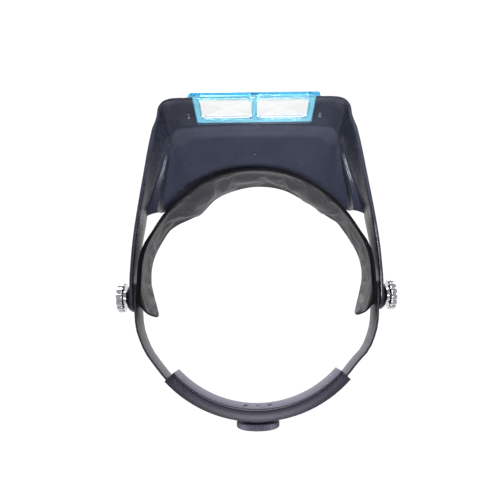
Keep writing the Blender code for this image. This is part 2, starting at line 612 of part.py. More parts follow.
def make_housing():
    """Two shells that make a curved channel: a C-shaped housing and a cover with a raised land."""
    top, bottom = PIVOT_Z + HOUSING_HALF_H, PIVOT_Z - HOUSING_HALF_H
    lip = HOUSING_HALF_H - STRAP_HALF_H - GAP
    channel_r = OUTER_LAYER_R + STRAP_T / 2 + GAP
    profile = [(HOUSING_OUT_R, bottom), (HOUSING_OUT_R, top), (SEAM_R, top), (SEAM_R, top - lip),
               (channel_r, top - lip), (channel_r, bottom + lip), (SEAM_R, bottom + lip), (SEAM_R, bottom)]
    mesh = arc_sweep("adjuster_housing", profile, -HOUSING_ANGLE, HOUSING_ANGLE, 28)
    housing = add_part("adjuster_housing", mesh, "housing_plastic")
    wall_y = ARC_Y + channel_r
    boss_y = (wall_y + BOSS_FACE_Y) / 2
    boss = rods((0, 1, 0), 13.4 * MM, BOSS_FACE_Y - wall_y - 0.4 * MM, [(0, boss_y + 0.2 * MM, PIVOT_Z)], 40)
    boolean(housing, add_cutter("housing_boss", boss), "UNION")
    bore = rods((0, 1, 0), SHAFT_R + GAP, 20 * MM, [(0, boss_y, PIVOT_Z)])
    boolean(housing, add_cutter("housing_bore", bore))
    screw_spots = [(s * COVER_SCREW_X, BOSS_FACE_Y - 4 * MM, PIVOT_Z) for s in (-1, 1)]
    boolean(housing, add_cutter("housing_screw_holes", rods((0, 1, 0), 1.4 * MM, 6.4 * MM, screw_spots, 16)))

    land_r = INNER_LAYER_R - STRAP_T / 2 - GAP
    inset = lip + GAP
    seam = SEAM_R - GAP
    profile = [(seam, bottom), (seam, bottom + inset), (land_r, bottom + inset), (land_r, top - inset),
               (seam, top - inset), (seam, top), (HOUSING_IN_R, top), (HOUSING_IN_R, bottom)]
    mesh = arc_sweep("adjuster_cover", profile, -HOUSING_ANGLE, HOUSING_ANGLE, 28)
    cover = add_part("adjuster_cover", mesh, "housing_plastic")
    cover_y = ARC_Y + (HOUSING_IN_R + land_r) / 2
    centre_hole = rods((0, 1, 0), 1.6 * MM, 12 * MM, [(0, cover_y, PIVOT_Z)], 16)
    boolean(cover, add_cutter("cover_centre_hole", centre_hole))
    side_spots = [(s * COVER_SCREW_X, cover_y, PIVOT_Z) for s in (-1, 1)]
    boolean(cover, add_cutter("cover_screw_holes", rods((0, 1, 0), 1.4 * MM, 12 * MM, side_spots, 16)))
    sink_y = ARC_Y + HOUSING_IN_R
    sink_spots = [(s * COVER_SCREW_X, sink_y, PIVOT_Z) for s in (-1, 1)]
    boolean(cover, add_cutter("cover_screw_sinks", rods((0, 1, 0), 2.3 * MM, 2.6 * MM, sink_spots, 16)))
    for name, side in (("left", 1), ("right", -1)):
        profile = [(0, 0.0), (1.9, -0.2), (1.9, -1.0), (1.1, -1.3), (1.1, -8.9), (0, -8.9)]
        turned("cover_screw_" + name, "steel", [(r * MM, z * MM) for r, z in profile],
               (side * COVER_SCREW_X, sink_y, PIVOT_Z), (0, -1, 0), 16)


def involute(base_r, radius):
    """Roll angle of an involute at a radius: how far round the flank has turned from its base."""
    ratio = max(radius / base_r, 1.0)
    roll = math.sqrt(ratio * ratio - 1)
    return roll - math.atan(roll)


def pinion_outline():
    """Ten involute teeth, one of them pointing up, with flats on the flanks' lower ends."""
    base_r = GEAR_R * math.cos(PRESSURE)
    root_r, tip_r = GEAR_R - DEDENDUM, GEAR_R + ADDENDUM
    half_at_pitch = math.pi / (2 * GEAR_TEETH) - BACKLASH / (4 * GEAR_R)
    half_at_base = half_at_pitch + involute(base_r, GEAR_R)
    radii = [root_r] + [base_r + (tip_r - base_r) * step / 4 for step in range(5)]
    points = []
    for tooth in range(GEAR_TEETH):
        middle = math.pi / 2 + 2 * math.pi * tooth / GEAR_TEETH
        flank = [(radius, half_at_base - involute(base_r, radius)) for radius in radii]
        for radius, half in flank:
            points.append((radius * math.cos(middle - half), radius * math.sin(middle - half)))
        for radius, half in reversed(flank):
            points.append((radius * math.cos(middle + half), radius * math.sin(middle + half)))
    return points


def knob_outline():
    points = []
    for rib in range(KNOB_RIBS):
        for share, depth in ((0.0, 0.0), (0.5, 0.0), (0.62, 0.55), (0.88, 0.55)):
            angle = 2 * math.pi * (rib + share) / KNOB_RIBS
            radius = KNOB_R - depth * MM
            points.append((radius * math.cos(angle), radius * math.sin(angle)))
    return points


def make_adjuster():
    upright = Matrix.Rotation(math.radians(90), 4, "X")
    pinion_y = ARC_Y + (OUTER_LAYER_R + INNER_LAYER_R) / 2
    pinion_mesh = outline_mesh("adjuster_pinion", [pinion_outline()], 3.4 * MM)
    pinion_mesh.transform(upright)
    pinion = add_part("adjuster_pinion", pinion_mesh, "steel")
    pinion.location = (0, pinion_y, PIVOT_Z)
    shaft_end = KNOB_OUT_Y - 2.2 * MM
    shaft = rods((0, 1, 0), SHAFT_R, shaft_end - pinion_y, [(0, (shaft_end + pinion_y) / 2, PIVOT_Z)])
    boolean(pinion, add_cutter("pinion_shaft", shaft), "UNION")
    thread = rods((0, 1, 0), 1.0 * MM, 8 * MM, [(0, shaft_end, PIVOT_Z)], 16)
    boolean(pinion, add_cutter("shaft_thread", thread))

    knob_back = BOSS_FACE_Y + 1.2 * MM
    knob_depth = KNOB_OUT_Y - knob_back
    knob_mesh = outline_mesh("adjuster_knob", [knob_outline()], knob_depth)
    knob_mesh.transform(upright)
    knob = add_part("adjuster_knob", knob_mesh, "knob_plastic")
    knob.location = (0, knob_back + knob_depth / 2, PIVOT_Z)
    bore = rods((0, 1, 0), SHAFT_R + GAP, 30 * MM, [(0, shaft_end + GAP - 15 * MM, PIVOT_Z)])
    boolean(knob, add_cutter("knob_bore", bore))
    boolean(knob, add_cutter("knob_screw_hole", rods((0, 1, 0), 1.3 * MM, 20 * MM, [(0, KNOB_OUT_Y, PIVOT_Z)], 16)))
    sink = rods((0, 1, 0), 3.0 * MM, 2.2 * MM, [(0, KNOB_OUT_Y, PIVOT_Z)], 24)
    boolean(knob, add_cutter("knob_screw_sink", sink))
    profile = [(0, 0.9), (1.6, 0.7), (2.5, 0.0), (0.7, -0.0), (0.7, -4.2), (0, -4.2)]
    turned("knob_screw", "steel", [(r * MM, z * MM) for r, z in profile],
           (0, KNOB_OUT_Y - 0.8 * MM, PIVOT_Z), (0, 1, 0), 16)
    ring("spring_washer", "steel", 4.0 * MM, 8.0 * MM, 0.5 * MM, (0, BOSS_FACE_Y + 0.6 * MM, PIVOT_Z), (0, 1, 0))


make_hood()
make_lens_plate()
make_band()
make_pad()
make_pivots()
make_strap("strap_left", 1, outer_layer=False)
make_strap("strap_right", -1, outer_layer=True)
make_housing()
make_adjuster()
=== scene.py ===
"""Head visor magnifier: the finished look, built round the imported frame. Metres, -Y front, +Z up."""
import json
import math

import bmesh
import bpy
from mathutils import Matrix, Vector
from mathutils.bvhtree import BVHTree


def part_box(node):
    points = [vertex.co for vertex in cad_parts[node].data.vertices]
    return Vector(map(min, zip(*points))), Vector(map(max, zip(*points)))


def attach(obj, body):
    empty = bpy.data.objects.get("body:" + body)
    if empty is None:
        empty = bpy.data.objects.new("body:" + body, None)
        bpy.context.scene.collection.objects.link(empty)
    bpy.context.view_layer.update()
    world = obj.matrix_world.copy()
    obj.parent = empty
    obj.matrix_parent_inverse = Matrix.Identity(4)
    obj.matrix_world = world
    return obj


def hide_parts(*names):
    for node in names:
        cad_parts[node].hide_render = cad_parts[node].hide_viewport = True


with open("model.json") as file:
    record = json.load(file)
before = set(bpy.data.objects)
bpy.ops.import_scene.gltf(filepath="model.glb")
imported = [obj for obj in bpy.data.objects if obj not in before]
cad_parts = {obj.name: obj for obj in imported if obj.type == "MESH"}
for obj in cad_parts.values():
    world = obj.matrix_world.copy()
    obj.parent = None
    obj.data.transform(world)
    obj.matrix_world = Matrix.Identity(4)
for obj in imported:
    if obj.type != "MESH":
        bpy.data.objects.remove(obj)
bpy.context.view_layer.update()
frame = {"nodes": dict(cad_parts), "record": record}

MM = 0.001
NODES = frame["nodes"]

WELD_DISTANCE = 0.00001

# Lines of the design that the visible pieces share with the frame
PIVOT = Vector((0.0, 7.6, 12.0)) * MM
BOLT_HOLE_R = 2.8 * MM
LENS_TILT = math.radians(7.2)
LENS_CENTRE = Vector((0.0, -129.6, -41.3)) * MM
LENS_MATRIX = Matrix.Translation(LENS_CENTRE) @ Matrix.Rotation(-LENS_TILT, 4, "X")
EAR_X, EAR_Z = 50 * MM, 3 * MM
LENS_SCREWS = [(side * EAR_X, 0, EAR_Z) for side in (-1, 1)]
LENS_SCREW_HOLE_R = 1.5 * MM
LENS_SCREW_HOLE_DEPTH = 16 * MM


# ---------- camera, world, floor and lights ----------

CAMERA_AT = Vector((0, 0.028, -0.390))
CAMERA_TILT = math.radians(8.3)
CAMERA_ROLL = math.radians(0.7)
SEEN_WHITE = 1.05
WORLD_BELOW = (0.44, 0.45, 0.48, 1)
WORLD_ABOVE = (1, 1, 1, 1)
WORLD_SHINE = 0.8
WORLD_SOFT = 0.35
FLOOR_Z = -0.47
FLOOR_SIZE = 60
FLOOR_GLOW = 0.32
# Each lamp's name, place, target, diameter, watts and, where it is narrowed, spread in degrees
LAMPS = (
    ("key", (0.05, 0.10, -0.45), (0.005, -0.106, 0.01), 0.16, 0.20, 32),
    ("fill", (0.0, 0.22, -0.45), (0, 0.105, 0), 0.16, 0.06, 40),
    ("side_left", (0.5, -0.45, 0.35), (0, 0, 0), 0.5, 5.0),
    ("side_right", (-0.5, -0.45, 0.35), (0, 0, 0), 0.5, 5.0),
    ("front", (-0.25, -0.75, 0.25), (0, -0.1, 0), 0.5, 14.0),
)


def aim(location, look, up):
    """A world matrix at a place, looking one way."""
    back = -look.normalized()
    right = up.cross(back).normalized()
    turn = Matrix((right, back.cross(right), back)).transposed().to_4x4()
    return Matrix.Translation(location) @ turn


def make_camera():
    """Below the head opening, looking up and a little to the front, rolled by under one degree."""
    look = Vector((0, -math.sin(CAMERA_TILT), math.cos(CAMERA_TILT)))
    up = Vector((0, -math.cos(CAMERA_TILT), -math.sin(CAMERA_TILT)))
    up = up * math.cos(CAMERA_ROLL) + Vector((1, 0, 0)) * math.sin(CAMERA_ROLL)
    data = bpy.data.cameras.new("camera")
    data.lens = 35
    data.sensor_width = 36
    data.shift_x = -0.012
    data.clip_start = 0.01
    camera = bpy.data.objects.new("camera", data)
    camera.matrix_world = aim(CAMERA_AT, look, up)
    bpy.context.scene.collection.objects.link(camera)
    bpy.context.scene.camera = camera


def make_world():
    """White where it is seen, also through glass; as light it is brightest overhead and dim below."""
    world = bpy.data.worlds.new("studio")
    bpy.context.scene.world = world
    world.use_nodes = True
    tree = world.node_tree
    tree.nodes.clear()
    place = tree.nodes.new("ShaderNodeTexCoord")
    split = tree.nodes.new("ShaderNodeSeparateXYZ")
    ramp = tree.nodes.new("ShaderNodeValToRGB")
    ramp.color_ramp.elements[0].position = 0.30
    ramp.color_ramp.elements[0].color = WORLD_BELOW
    ramp.color_ramp.elements[1].position = 0.66
    ramp.color_ramp.elements[1].color = WORLD_ABOVE
    spread = tree.nodes.new("ShaderNodeMapRange")
    spread.inputs["From Min"].default_value = -1
    spread.inputs["From Max"].default_value = 1
    seen = tree.nodes.new("ShaderNodeBackground")
    seen.inputs["Color"].default_value = (1, 1, 1, 1)
    seen.inputs["Strength"].default_value = SEEN_WHITE
    lighting = tree.nodes.new("ShaderNodeBackground")
    strength = tree.nodes.new("ShaderNodeMapRange")
    strength.inputs["To Min"].default_value = WORLD_SOFT
    strength.inputs["To Max"].default_value = WORLD_SHINE
    path = tree.nodes.new("ShaderNodeLightPath")
    straight = tree.nodes.new("ShaderNodeMath")
    straight.operation = "MAXIMUM"
    mix = tree.nodes.new("ShaderNodeMixShader")
    out = tree.nodes.new("ShaderNodeOutputWorld")
    join = tree.links.new
    join(place.outputs["Generated"], split.inputs[0])
    join(split.outputs["Z"], spread.inputs["Value"])
    join(spread.outputs["Result"], ramp.inputs["Fac"])
    join(ramp.outputs["Color"], lighting.inputs["Color"])
    join(path.outputs["Is Glossy Ray"], strength.inputs["Value"])
    join(strength.outputs["Result"], lighting.inputs["Strength"])
    join(path.outputs["Is Camera Ray"], straight.inputs[0])
    join(path.outputs["Is Transmission Ray"], straight.inputs[1])
    join(straight.outputs[0], mix.inputs[0])
    join(lighting.outputs[0], mix.inputs[1])
    join(seen.outputs[0], mix.inputs[2])
    join(mix.outputs[0], out.inputs["Surface"])


def area_light(name, location, target, size, watts, spread=180):
    """A round lamp that shines at a target and isn't seen itself."""
    data = bpy.data.lights.new(name, "AREA")
    data.shape = "DISK"
    data.size = size
    data.energy = watts
    data.spread = math.radians(spread)
    lamp = bpy.data.objects.new(name, data)
    lamp.matrix_world = aim(Vector(location), Vector(target) - Vector(location), Vector((0, 1, 0.1)))
    lamp.visible_camera = False
    bpy.context.scene.collection.objects.link(lamp)


def make_studio():
    """A pale floor and plain soft lights; the floor adds nothing to the object's own light."""
    bpy.context.scene.view_settings.view_transform = "Standard"
    make_world()
    bpy.ops.mesh.primitive_plane_add(size=FLOOR_SIZE, location=(0, 0, FLOOR_Z))
    floor = bpy.context.object
    floor.name = "floor"
    floor.visible_diffuse = False
    floor.visible_glossy = False
    paint = bpy.data.materials.new("floor_paint")
    paint.use_nodes = True
    shader = paint.node_tree.nodes["Principled BSDF"]
    shader.inputs["Base Color"].default_value = (0.86, 0.86, 0.87, 1)
    shader.inputs["Roughness"].default_value = 0.9
    shader.inputs["Emission Color"].default_value = (1, 1, 1, 1)
    shader.inputs["Emission Strength"].default_value = FLOOR_GLOW
    floor.data.materials.append(paint)
    for lamp in LAMPS:
        area_light(*lamp)


# ---------- materials ----------

# Most of a noise texture's values lie between these
NOISE_LOW, NOISE_HIGH = 0.3, 0.7
ACRYLIC_IOR = 1.49


class Paint:
    """A Principled material whose textures are placed by the object's own coordinates, in metres."""

    def __init__(self, name):
        self.material = bpy.data.materials.new(name)
        self.material.use_nodes = True
        self.tree = self.material.node_tree
        self.shader = self.tree.nodes["Principled BSDF"]
        self.place = self.tree.nodes.new("ShaderNodeTexCoord").outputs["Object"]

    def set(self, **values):
        """Constants for the shader's own sockets, by their names in lower case."""
        for name, value in values.items():
            self.shader.inputs[name.replace("_", " ").title().replace("Ior", "IOR")].default_value = value
        return self

    def join(self, output, socket):
        """Lead a texture to one of the shader's sockets."""
        self.tree.links.new(output, self.shader.inputs[socket])

    def stretched(self, scale):
        """The object's coordinates, scaled by axis."""
        mapping = self.tree.nodes.new("ShaderNodeMapping")
        mapping.inputs["Scale"].default_value = scale
        self.tree.links.new(self.place, mapping.inputs["Vector"])
        return mapping.outputs[0]

    def noise(self, size, detail=3.0, rough=0.5, stretch=None):
        """Noise whose largest features are about a size across, in metres."""
        made = self.tree.nodes.new("ShaderNodeTexNoise")
        made.inputs["Scale"].default_value = 1 / size
        made.inputs["Detail"].default_value = detail
        made.inputs["Roughness"].default_value = rough
        self.tree.links.new(self.stretched(stretch) if stretch else self.place, made.inputs["Vector"])
        return made.outputs["Fac"]

    def cells(self, size):
        """How far the nearest border between cells is, in cells."""
        made = self.tree.nodes.new("ShaderNodeTexVoronoi")
        made.feature = "DISTANCE_TO_EDGE"
        made.inputs["Scale"].default_value = 1 / size
        self.tree.links.new(self.place, made.inputs["Vector"])
        return made.outputs["Distance"]

    def along(self, way):
        """Distance along a direction from the origin, in metres."""
        made = self.tree.nodes.new("ShaderNodeVectorMath")
        made.operation = "DOT_PRODUCT"
        made.inputs[1].default_value = way
        self.tree.links.new(self.place, made.inputs[0])
        return made.outputs["Value"]

    def fit(self, value, low, high, from_low=NOISE_LOW, from_high=NOISE_HIGH):
        """Stretch a value's range, by default a noise's, over low to high."""
        made = self.tree.nodes.new("ShaderNodeMapRange")
        made.inputs["From Min"].default_value = from_low
        made.inputs["From Max"].default_value = from_high
        made.inputs["To Min"].default_value = low
        made.inputs["To Max"].default_value = high
        self.tree.links.new(value, made.inputs["Value"])
        return made.outputs["Result"]

    def mixed(self, factor, first, second):
        """A colour between two, each a constant or another texture's output."""
        made = self.tree.nodes.new("ShaderNodeMix")
        made.data_type = "RGBA"
        self.tree.links.new(factor, made.inputs["Factor"])
        for socket, value in (("A", first), ("B", second)):
            target = next(s for s in made.inputs if s.name == socket and s.type == "RGBA")
            if isinstance(value, bpy.types.NodeSocket):
                self.tree.links.new(value, target)
            else:
                target.default_value = (*value, 1)
        return next(s for s in made.outputs if s.type == "RGBA")

    def bump(self, height, depth, strength=1.0, under=None):
        """Surface relief of a depth in metres, on top of any relief under it."""
        made = self.tree.nodes.new("ShaderNodeBump")
        made.inputs["Distance"].default_value = depth
        made.inputs["Strength"].default_value = strength
        self.tree.links.new(height, made.inputs["Height"])
        if under:
            self.tree.links.new(under, made.inputs["Normal"])
        return made.outputs["Normal"]


def shade(colour, factor):
    """A colour made lighter or darker."""
    return tuple(min(part * factor, 1.0) for part in colour)


def moulded(name, colour, roughness, grain=0.5 * MM, depth=0.03 * MM, mottle=0.12, spread=0.06):
    """Injection-moulded plastic: a fine spark-eroded grain, faint flow clouds and handling marks."""
    paint = Paint(name)
    clouds = paint.fit(paint.noise(22 * MM, 4, 0.6), 0, 1)
    paint.join(paint.mixed(clouds, shade(colour, 1 - mottle), shade(colour, 1 + mottle)), "Base Color")
    handled = paint.noise(7 * MM, 5, 0.65)
    paint.join(paint.fit(handled, roughness - spread, roughness + spread), "Roughness")
    paint.join(paint.bump(paint.noise(grain, 2, 0.6), depth), "Normal")
    return paint


def leather(name, colour):
    """Soft grained leather: small pebbles between fine creases, paler where it is rubbed."""
    paint = Paint(name)
    pebbles = paint.cells(1.5 * MM)
    wander = paint.noise(9 * MM, 4, 0.6)
    rubbed = paint.mixed(paint.fit(wander, 0, 1), shade(colour, 0.8), shade(colour, 1.22))
    creases = paint.fit(pebbles, 0, 1, 0.0, 0.12)
    paint.join(paint.mixed(creases, shade(colour, 0.62), rubbed), "Base Color")
    paint.join(paint.fit(paint.noise(3 * MM, 3), 0.44, 0.6), "Roughness")
    soft = paint.bump(paint.noise(5 * MM, 4, 0.6), 0.5 * MM, 0.5)
    paint.join(paint.bump(creases, 0.10 * MM, 0.6, soft), "Normal")
    return paint.set(sheen_weight=0.12, sheen_roughness=0.5, specular_ior_level=0.3)


def metal(name, colour, roughness, stretch, depth=0.01 * MM):
    """Turned or drawn metal: fine lines one way and a faint patchiness."""
    paint = Paint(name).set(metallic=1.0)
    lines = paint.noise(0.35 * MM, 2, 0.5, stretch)
    patches = paint.noise(4 * MM, 3)
    paint.join(paint.mixed(paint.fit(patches, 0, 1), shade(colour, 0.88), shade(colour, 1.08)), "Base Color")
    paint.join(paint.fit(lines, roughness * 0.7, roughness * 1.4), "Roughness")
    paint.join(paint.bump(lines, depth), "Normal")
    return paint


def tinted_plastic(name, colour, pale):
    """Clear tinted acrylic, deepest in the flange and pale round the windows, where the pale colour is
    painted light for the light shining through the plate; with slight flow waves.
    """
    paint = Paint(name)
    flange = LENS_MATRIX.to_3x3() @ Vector((0, 1, 0))
    seam = LENS_CENTRE.dot(flange)
    # Painted light: from the flange back into the body the colour turns pale, standing in for light shining
    # through the clear plate round its windows
    behind = paint.fit(paint.along(flange), 0, 1, seam - 0.8 * MM, seam)
    waves = paint.mixed(paint.noise(12 * MM, 3), shade(colour, 0.8), shade(colour, 1.15))
    backlit_pale_waves = paint.mixed(paint.noise(9 * MM, 3), shade(pale, 0.85), shade(pale, 1.1))
    paint.join(paint.mixed(behind, waves, backlit_pale_waves), "Base Color")
    paint.join(paint.fit(paint.noise(6 * MM, 3), 0.06, 0.16), "Roughness")
    paint.join(paint.bump(paint.noise(8 * MM, 2), 0.12 * MM, 0.6), "Normal")
    return paint.set(transmission_weight=0.8, ior=ACRYLIC_IOR)


def polished_glass(name):
    """Clear polished acrylic with faint smudges."""
    paint = Paint(name)
    smudge = paint.noise(9 * MM, 4, 0.6)
    paint.join(paint.mixed(smudge, (0.96, 0.985, 1.0), (1.0, 1.0, 1.0)), "Base Color")
    paint.join(paint.fit(smudge, 0.0, 0.02, 0.4, 0.8), "Roughness")
    return paint.set(transmission_weight=1.0, ior=ACRYLIC_IOR)


def slot_looks():
    """Every material slot's look, and the piping's."""
    made = {
        "hood_plastic": moulded("hood_plastic", (0.043, 0.048, 0.075), 0.24, 0.5 * MM, 0.012 * MM),
        # The lens frame's deep colour is the plate's own tint; its pale colour is painted light for the
        # light shining through the plate round the windows
        "lens_frame_plastic": tinted_plastic("lens_frame_plastic", (0.10, 0.55, 0.92), (0.60, 0.95, 1.0)),
        "lens_glass": polished_glass("lens_glass"),
        "band_fibre": moulded("band_fibre", (0.007, 0.007, 0.008), 0.60, 0.8 * MM, 0.05 * MM, 0.25),
        "pad_leather": leather("pad_leather", (0.034, 0.0312, 0.039)),
        "piping": moulded("piping", (0.006, 0.006, 0.007), 0.55, 0.7 * MM, 0.06 * MM, 0.2),
        "strap_plastic": moulded("strap_plastic", (0.054, 0.051, 0.066), 0.38),
        "housing_plastic": moulded("housing_plastic", (0.060, 0.056, 0.092), 0.36, 0.6 * MM, 0.008 * MM,
                                   0.14, 0.02),
        "knob_plastic": moulded("knob_plastic", (0.190, 0.182, 0.255), 0.42, 0.6 * MM, 0.05 * MM),
        "chrome": metal("chrome", (0.86, 0.86, 0.88), 0.07, (1, 1, 1), 0.002 * MM),
        "steel": metal("steel", (0.56, 0.56, 0.58), 0.26, (1, 0.15, 1)),
        "washer_black": metal("washer_black", (0.03, 0.03, 0.034), 0.34, (1, 1, 1)),
        "washer_fibre": moulded("washer_fibre", (0.14, 0.06, 0.035), 0.75, 0.6 * MM, 0.08 * MM, 0.3),
        "bush_plastic": moulded("bush_plastic", (0.72, 0.72, 0.68), 0.4),
    }
    duller = {"band_fibre": 0.1, "piping": 0.15, "housing_plastic": 0.32, "strap_plastic": 0.36}
    for name, level in duller.items():
        made[name].set(specular_ior_level=level)
    return made


LOOKS = slot_looks()


# ---------- helpers for shapes ----------

SHARP_ANGLE = math.radians(38)
UPRIGHT = Matrix.Rotation(math.radians(90), 4, "X")


def wear(piece, look):
    """Give a piece its material."""
    piece.data.materials.clear()
    piece.data.materials.append(LOOKS[look].material)


def place_piece(name, mesh, look, body, *stands_for, slot=None):
    """Link a finished mesh as a piece of the object that rides on a body."""
    piece = bpy.data.objects.new(name, mesh)
    bpy.context.scene.collection.objects.link(piece)
    mesh.shade_smooth()
    mesh.set_sharp_from_angle(angle=SHARP_ANGLE)
    wear(piece, look)
    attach(piece, body)
    if stands_for:
        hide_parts(*stands_for)
    return piece


def loose_object(name, data):
    """A helper or a piece in the making, linked to the scene."""
    made = bpy.data.objects.new(name, data)
    bpy.context.scene.collection.objects.link(made)
    return made


def settled(piece, *helpers):
    """The evaluated mesh of a piece with modifiers; the piece and its helpers are removed."""
    depsgraph = bpy.context.evaluated_depsgraph_get()
    mesh = bpy.data.meshes.new_from_object(piece.evaluated_get(depsgraph))
    mesh.transform(piece.matrix_world)
    for old in (piece, *helpers):
        bpy.data.objects.remove(old, do_unlink=True)
    return mesh


def cut(target, tool, operation="DIFFERENCE"):
    """Add a Boolean step; it is worked out when the target is settled."""
    step = target.modifiers.new(tool.name, "BOOLEAN")
    step.object = tool
    step.operation = operation
    step.solver = "EXACT"


def mesh_from(bm, name):
    """The finished mesh of a bmesh, its faces turned outwards."""
    bmesh.ops.recalc_face_normals(bm, faces=bm.faces)
    mesh = bpy.data.meshes.new(name)
    bm.to_mesh(mesh)
    bm.free()
    return mesh


def turn_to(axis):
    """The turn that lays +Z along an axis."""
    return Vector((0, 0, 1)).rotation_difference(Vector(axis)).to_matrix().to_4x4()


def rods(name, axis, radius, length, centres):
    """Round rods along an axis, one at each centre, to cut holes with."""
    turn = turn_to(axis)
    bm = bmesh.new()
    for centre in centres:
        bmesh.ops.create_cone(bm, cap_ends=True, segments=32, radius1=radius, radius2=radius,
                              depth=length, matrix=Matrix.Translation(centre) @ turn)
    return loose_object(name, mesh_from(bm, name))


def rounded_slab(name, outlines, low, high, edge):
    """Outlines (the later ones holes) raised from low to high along +Z, with rounded edges."""
    curve = bpy.data.curves.new(name, "CURVE")
    curve.dimensions = "2D"
    curve.fill_mode = "BOTH"
    curve.extrude = (high - low) / 2 - edge
    curve.bevel_depth = edge
    curve.bevel_resolution = 2
    curve.offset = -edge
    for outline in outlines:
        spline = curve.splines.new("POLY")
        spline.points.add(len(outline) - 1)
        spline.use_cyclic_u = True
        for point, (x, y) in zip(spline.points, outline):
            point.co = (x, y, 0.0, 1.0)
    flat = loose_object(name, curve)
    flat.location = (0, 0, (low + high) / 2)
    bpy.context.view_layer.update()
    mesh = settled(flat)
    bm = bmesh.new()
    bm.from_mesh(mesh)
    bmesh.ops.remove_doubles(bm, verts=bm.verts, dist=WELD_DISTANCE)
    return mesh_from(bm, name)


def rounded_rectangle(width, height, radius, centre_x=0.0, centre_y=0.0):
    """The outline's points, with eight steps round each corner."""
    steps = 8
    points = []
    for side_x, side_y, start in ((1, 1, 0), (-1, 1, 90), (-1, -1, 180), (1, -1, 270)):
        for step in range(steps + 1):
            angle = math.radians(start + 90 * step / steps)
            x = centre_x + side_x * (width / 2 - radius) + radius * math.cos(angle)
            points.append((x, centre_y + side_y * (height / 2 - radius) + radius * math.sin(angle)))
    return points


def circle(radius, count, centre=(0.0, 0.0)):
    """Evenly spaced points on a circle."""
    angles = [2 * math.pi * step / count for step in range(count)]
    return [(centre[0] + radius * math.cos(a), centre[1] + radius * math.sin(a)) for a in angles]


def spun(name, profile, place, axis, segments=64):
    """A turned mesh from (radius, height) pairs in mm, closed at the axis or as a ring."""
    bm = bmesh.new()
    rings = []
    for radius, height in profile:
        if radius < 1e-6:
            rings.append([bm.verts.new((0, 0, height * MM))])
        else:
            rings.append([bm.verts.new((x * MM, y * MM, height * MM)) for x, y in circle(radius, segments)])
    pairs = list(zip(rings, rings[1:]))
    if profile[0][0] > 1e-6 and profile[-1][0] > 1e-6:
        pairs.append((rings[-1], rings[0]))
    for first, second in pairs:
        for step in range(segments):
            after = (step + 1) % segments
            corners = [first[step % len(first)], first[after % len(first)],
                       second[after % len(second)], second[step % len(second)]]
            unique = list(dict.fromkeys(corners))
            if len(unique) > 2:
                bm.faces.new(unique)
    bm.transform(Matrix.Translation(place) @ turn_to(axis))
    return mesh_from(bm, name)


def stood_up(mesh):
    """Turn a slab drawn in XY, thick along Z, to stand in XZ with its top towards the front, -Y."""
    mesh.transform(UPRIGHT)
    return mesh


def round_line(name, radius, resolution):
    """An empty curve that is drawn as a round bar."""
    curve = bpy.data.curves.new(name, "CURVE")
    curve.dimensions = "3D"
    curve.bevel_depth = radius
    curve.bevel_resolution = resolution
    return curve


def add_line(curve, points, widths, closed=False):
    """Add a line through the points to a curve, with a share of the full radius at each."""
    spline = curve.splines.new("POLY")
    spline.points.add(len(points) - 1)
    spline.use_cyclic_u = closed
    for place, point, width in zip(spline.points, points, widths):
        place.co = (*point, 1.0)
        place.radius = width


def even_path(points, count):
    """Points spaced evenly along a Catmull-Rom curve through the given ones."""
    dense = []
    padded = [2 * points[0] - points[1], *points, 2 * points[-1] - points[-2]]
    for a, b, c, d in zip(padded, padded[1:], padded[2:], padded[3:]):
        for step in range(12):
            t = step / 12
            dense.append(0.5 * ((2 * b) + (c - a) * t + (2 * a - 5 * b + 4 * c - d) * t * t
                                + (3 * b - a - 3 * c + d) * t ** 3))
    dense.append(points[-1])
    lengths = [0.0]
    for first, second in zip(dense, dense[1:]):
        lengths.append(lengths[-1] + (second - first).length)
    path, at = [], 0
    for step in range(count):
        target = lengths[-1] * step / (count - 1)
        while at < len(dense) - 2 and lengths[at + 1] < target:
            at += 1
        share = (target - lengths[at]) / max(lengths[at + 1] - lengths[at], 1e-9)
        path.append(dense[at].lerp(dense[at + 1], min(max(share, 0), 1)))
    return path


# ---------- carried-over nodes ----------

def dress_nodes():
    """Every frame node gets its slot's material, softened edges and smooth shading."""
    for part in frame["record"]["subparts"]:
        piece = NODES[part["node"]]
        wear(piece, part["material_slot"])
        weld = piece.modifiers.new("weld", "WELD")
        weld.merge_threshold = WELD_DISTANCE
        soften = piece.modifiers.new("soft edges", "BEVEL")
        soften.width = 0.25 * MM
        soften.segments = 2
        soften.limit_method = "ANGLE"
        soften.angle_limit = math.radians(40)
        soften.use_clamp_overlap = True
        piece.data.shade_smooth()


# ---------- hood ----------

# Outer lines of the hood from the middle of the front round the corner to the side wall's rear end, in mm
HOOD_RIM = ((0, -131.8, -60), (30, -131.6, -60), (54.4, -131.6, -60), (61.8, -131.2, -60),
            (66.9, -128.8, -60), (69.4, -123.9, -60), (70.0, -117.9, -59.8), (71.4, -113.0, -59.5),
            (73.3, -109.0, -59), (78.0, -97.7, -51), (83.6, -82.0, -38.7), (88.6, -69.2, -28.4),
            (93.3, -56.2, -18))
HOOD_STEP_LOW = ((0, -129.2, -39), (30, -129.0, -39), (54.2, -128.9, -39), (61.8, -128.3, -39),
                 (66.9, -125.9, -38), (69.5, -121.2, -36), (70.5, -116.0, -31), (72.6, -111.8, -20),
                 (74.8, -107.6, -12), (78.7, -97.5, -8), (83.9, -83.0, -3), (88.6, -71.8, 4),
                 (93.4, -61.8, 12))
HOOD_STEP_HIGH = ((0, -127.0, -21.5), (30, -126.9, -21.5), (53.4, -126.5, -21.5), (60.4, -125.6, -21),
                  (65.0, -123.3, -20.5), (67.8, -119.6, -19.5), (69.4, -115.0, -17), (70.6, -111.8, -14),
                  (72.0, -108.4, -9), (75.2, -98.6, -5), (79.2, -84.6, 0), (82.6, -74.6, 7),
                  (85.4, -65.0, 14))
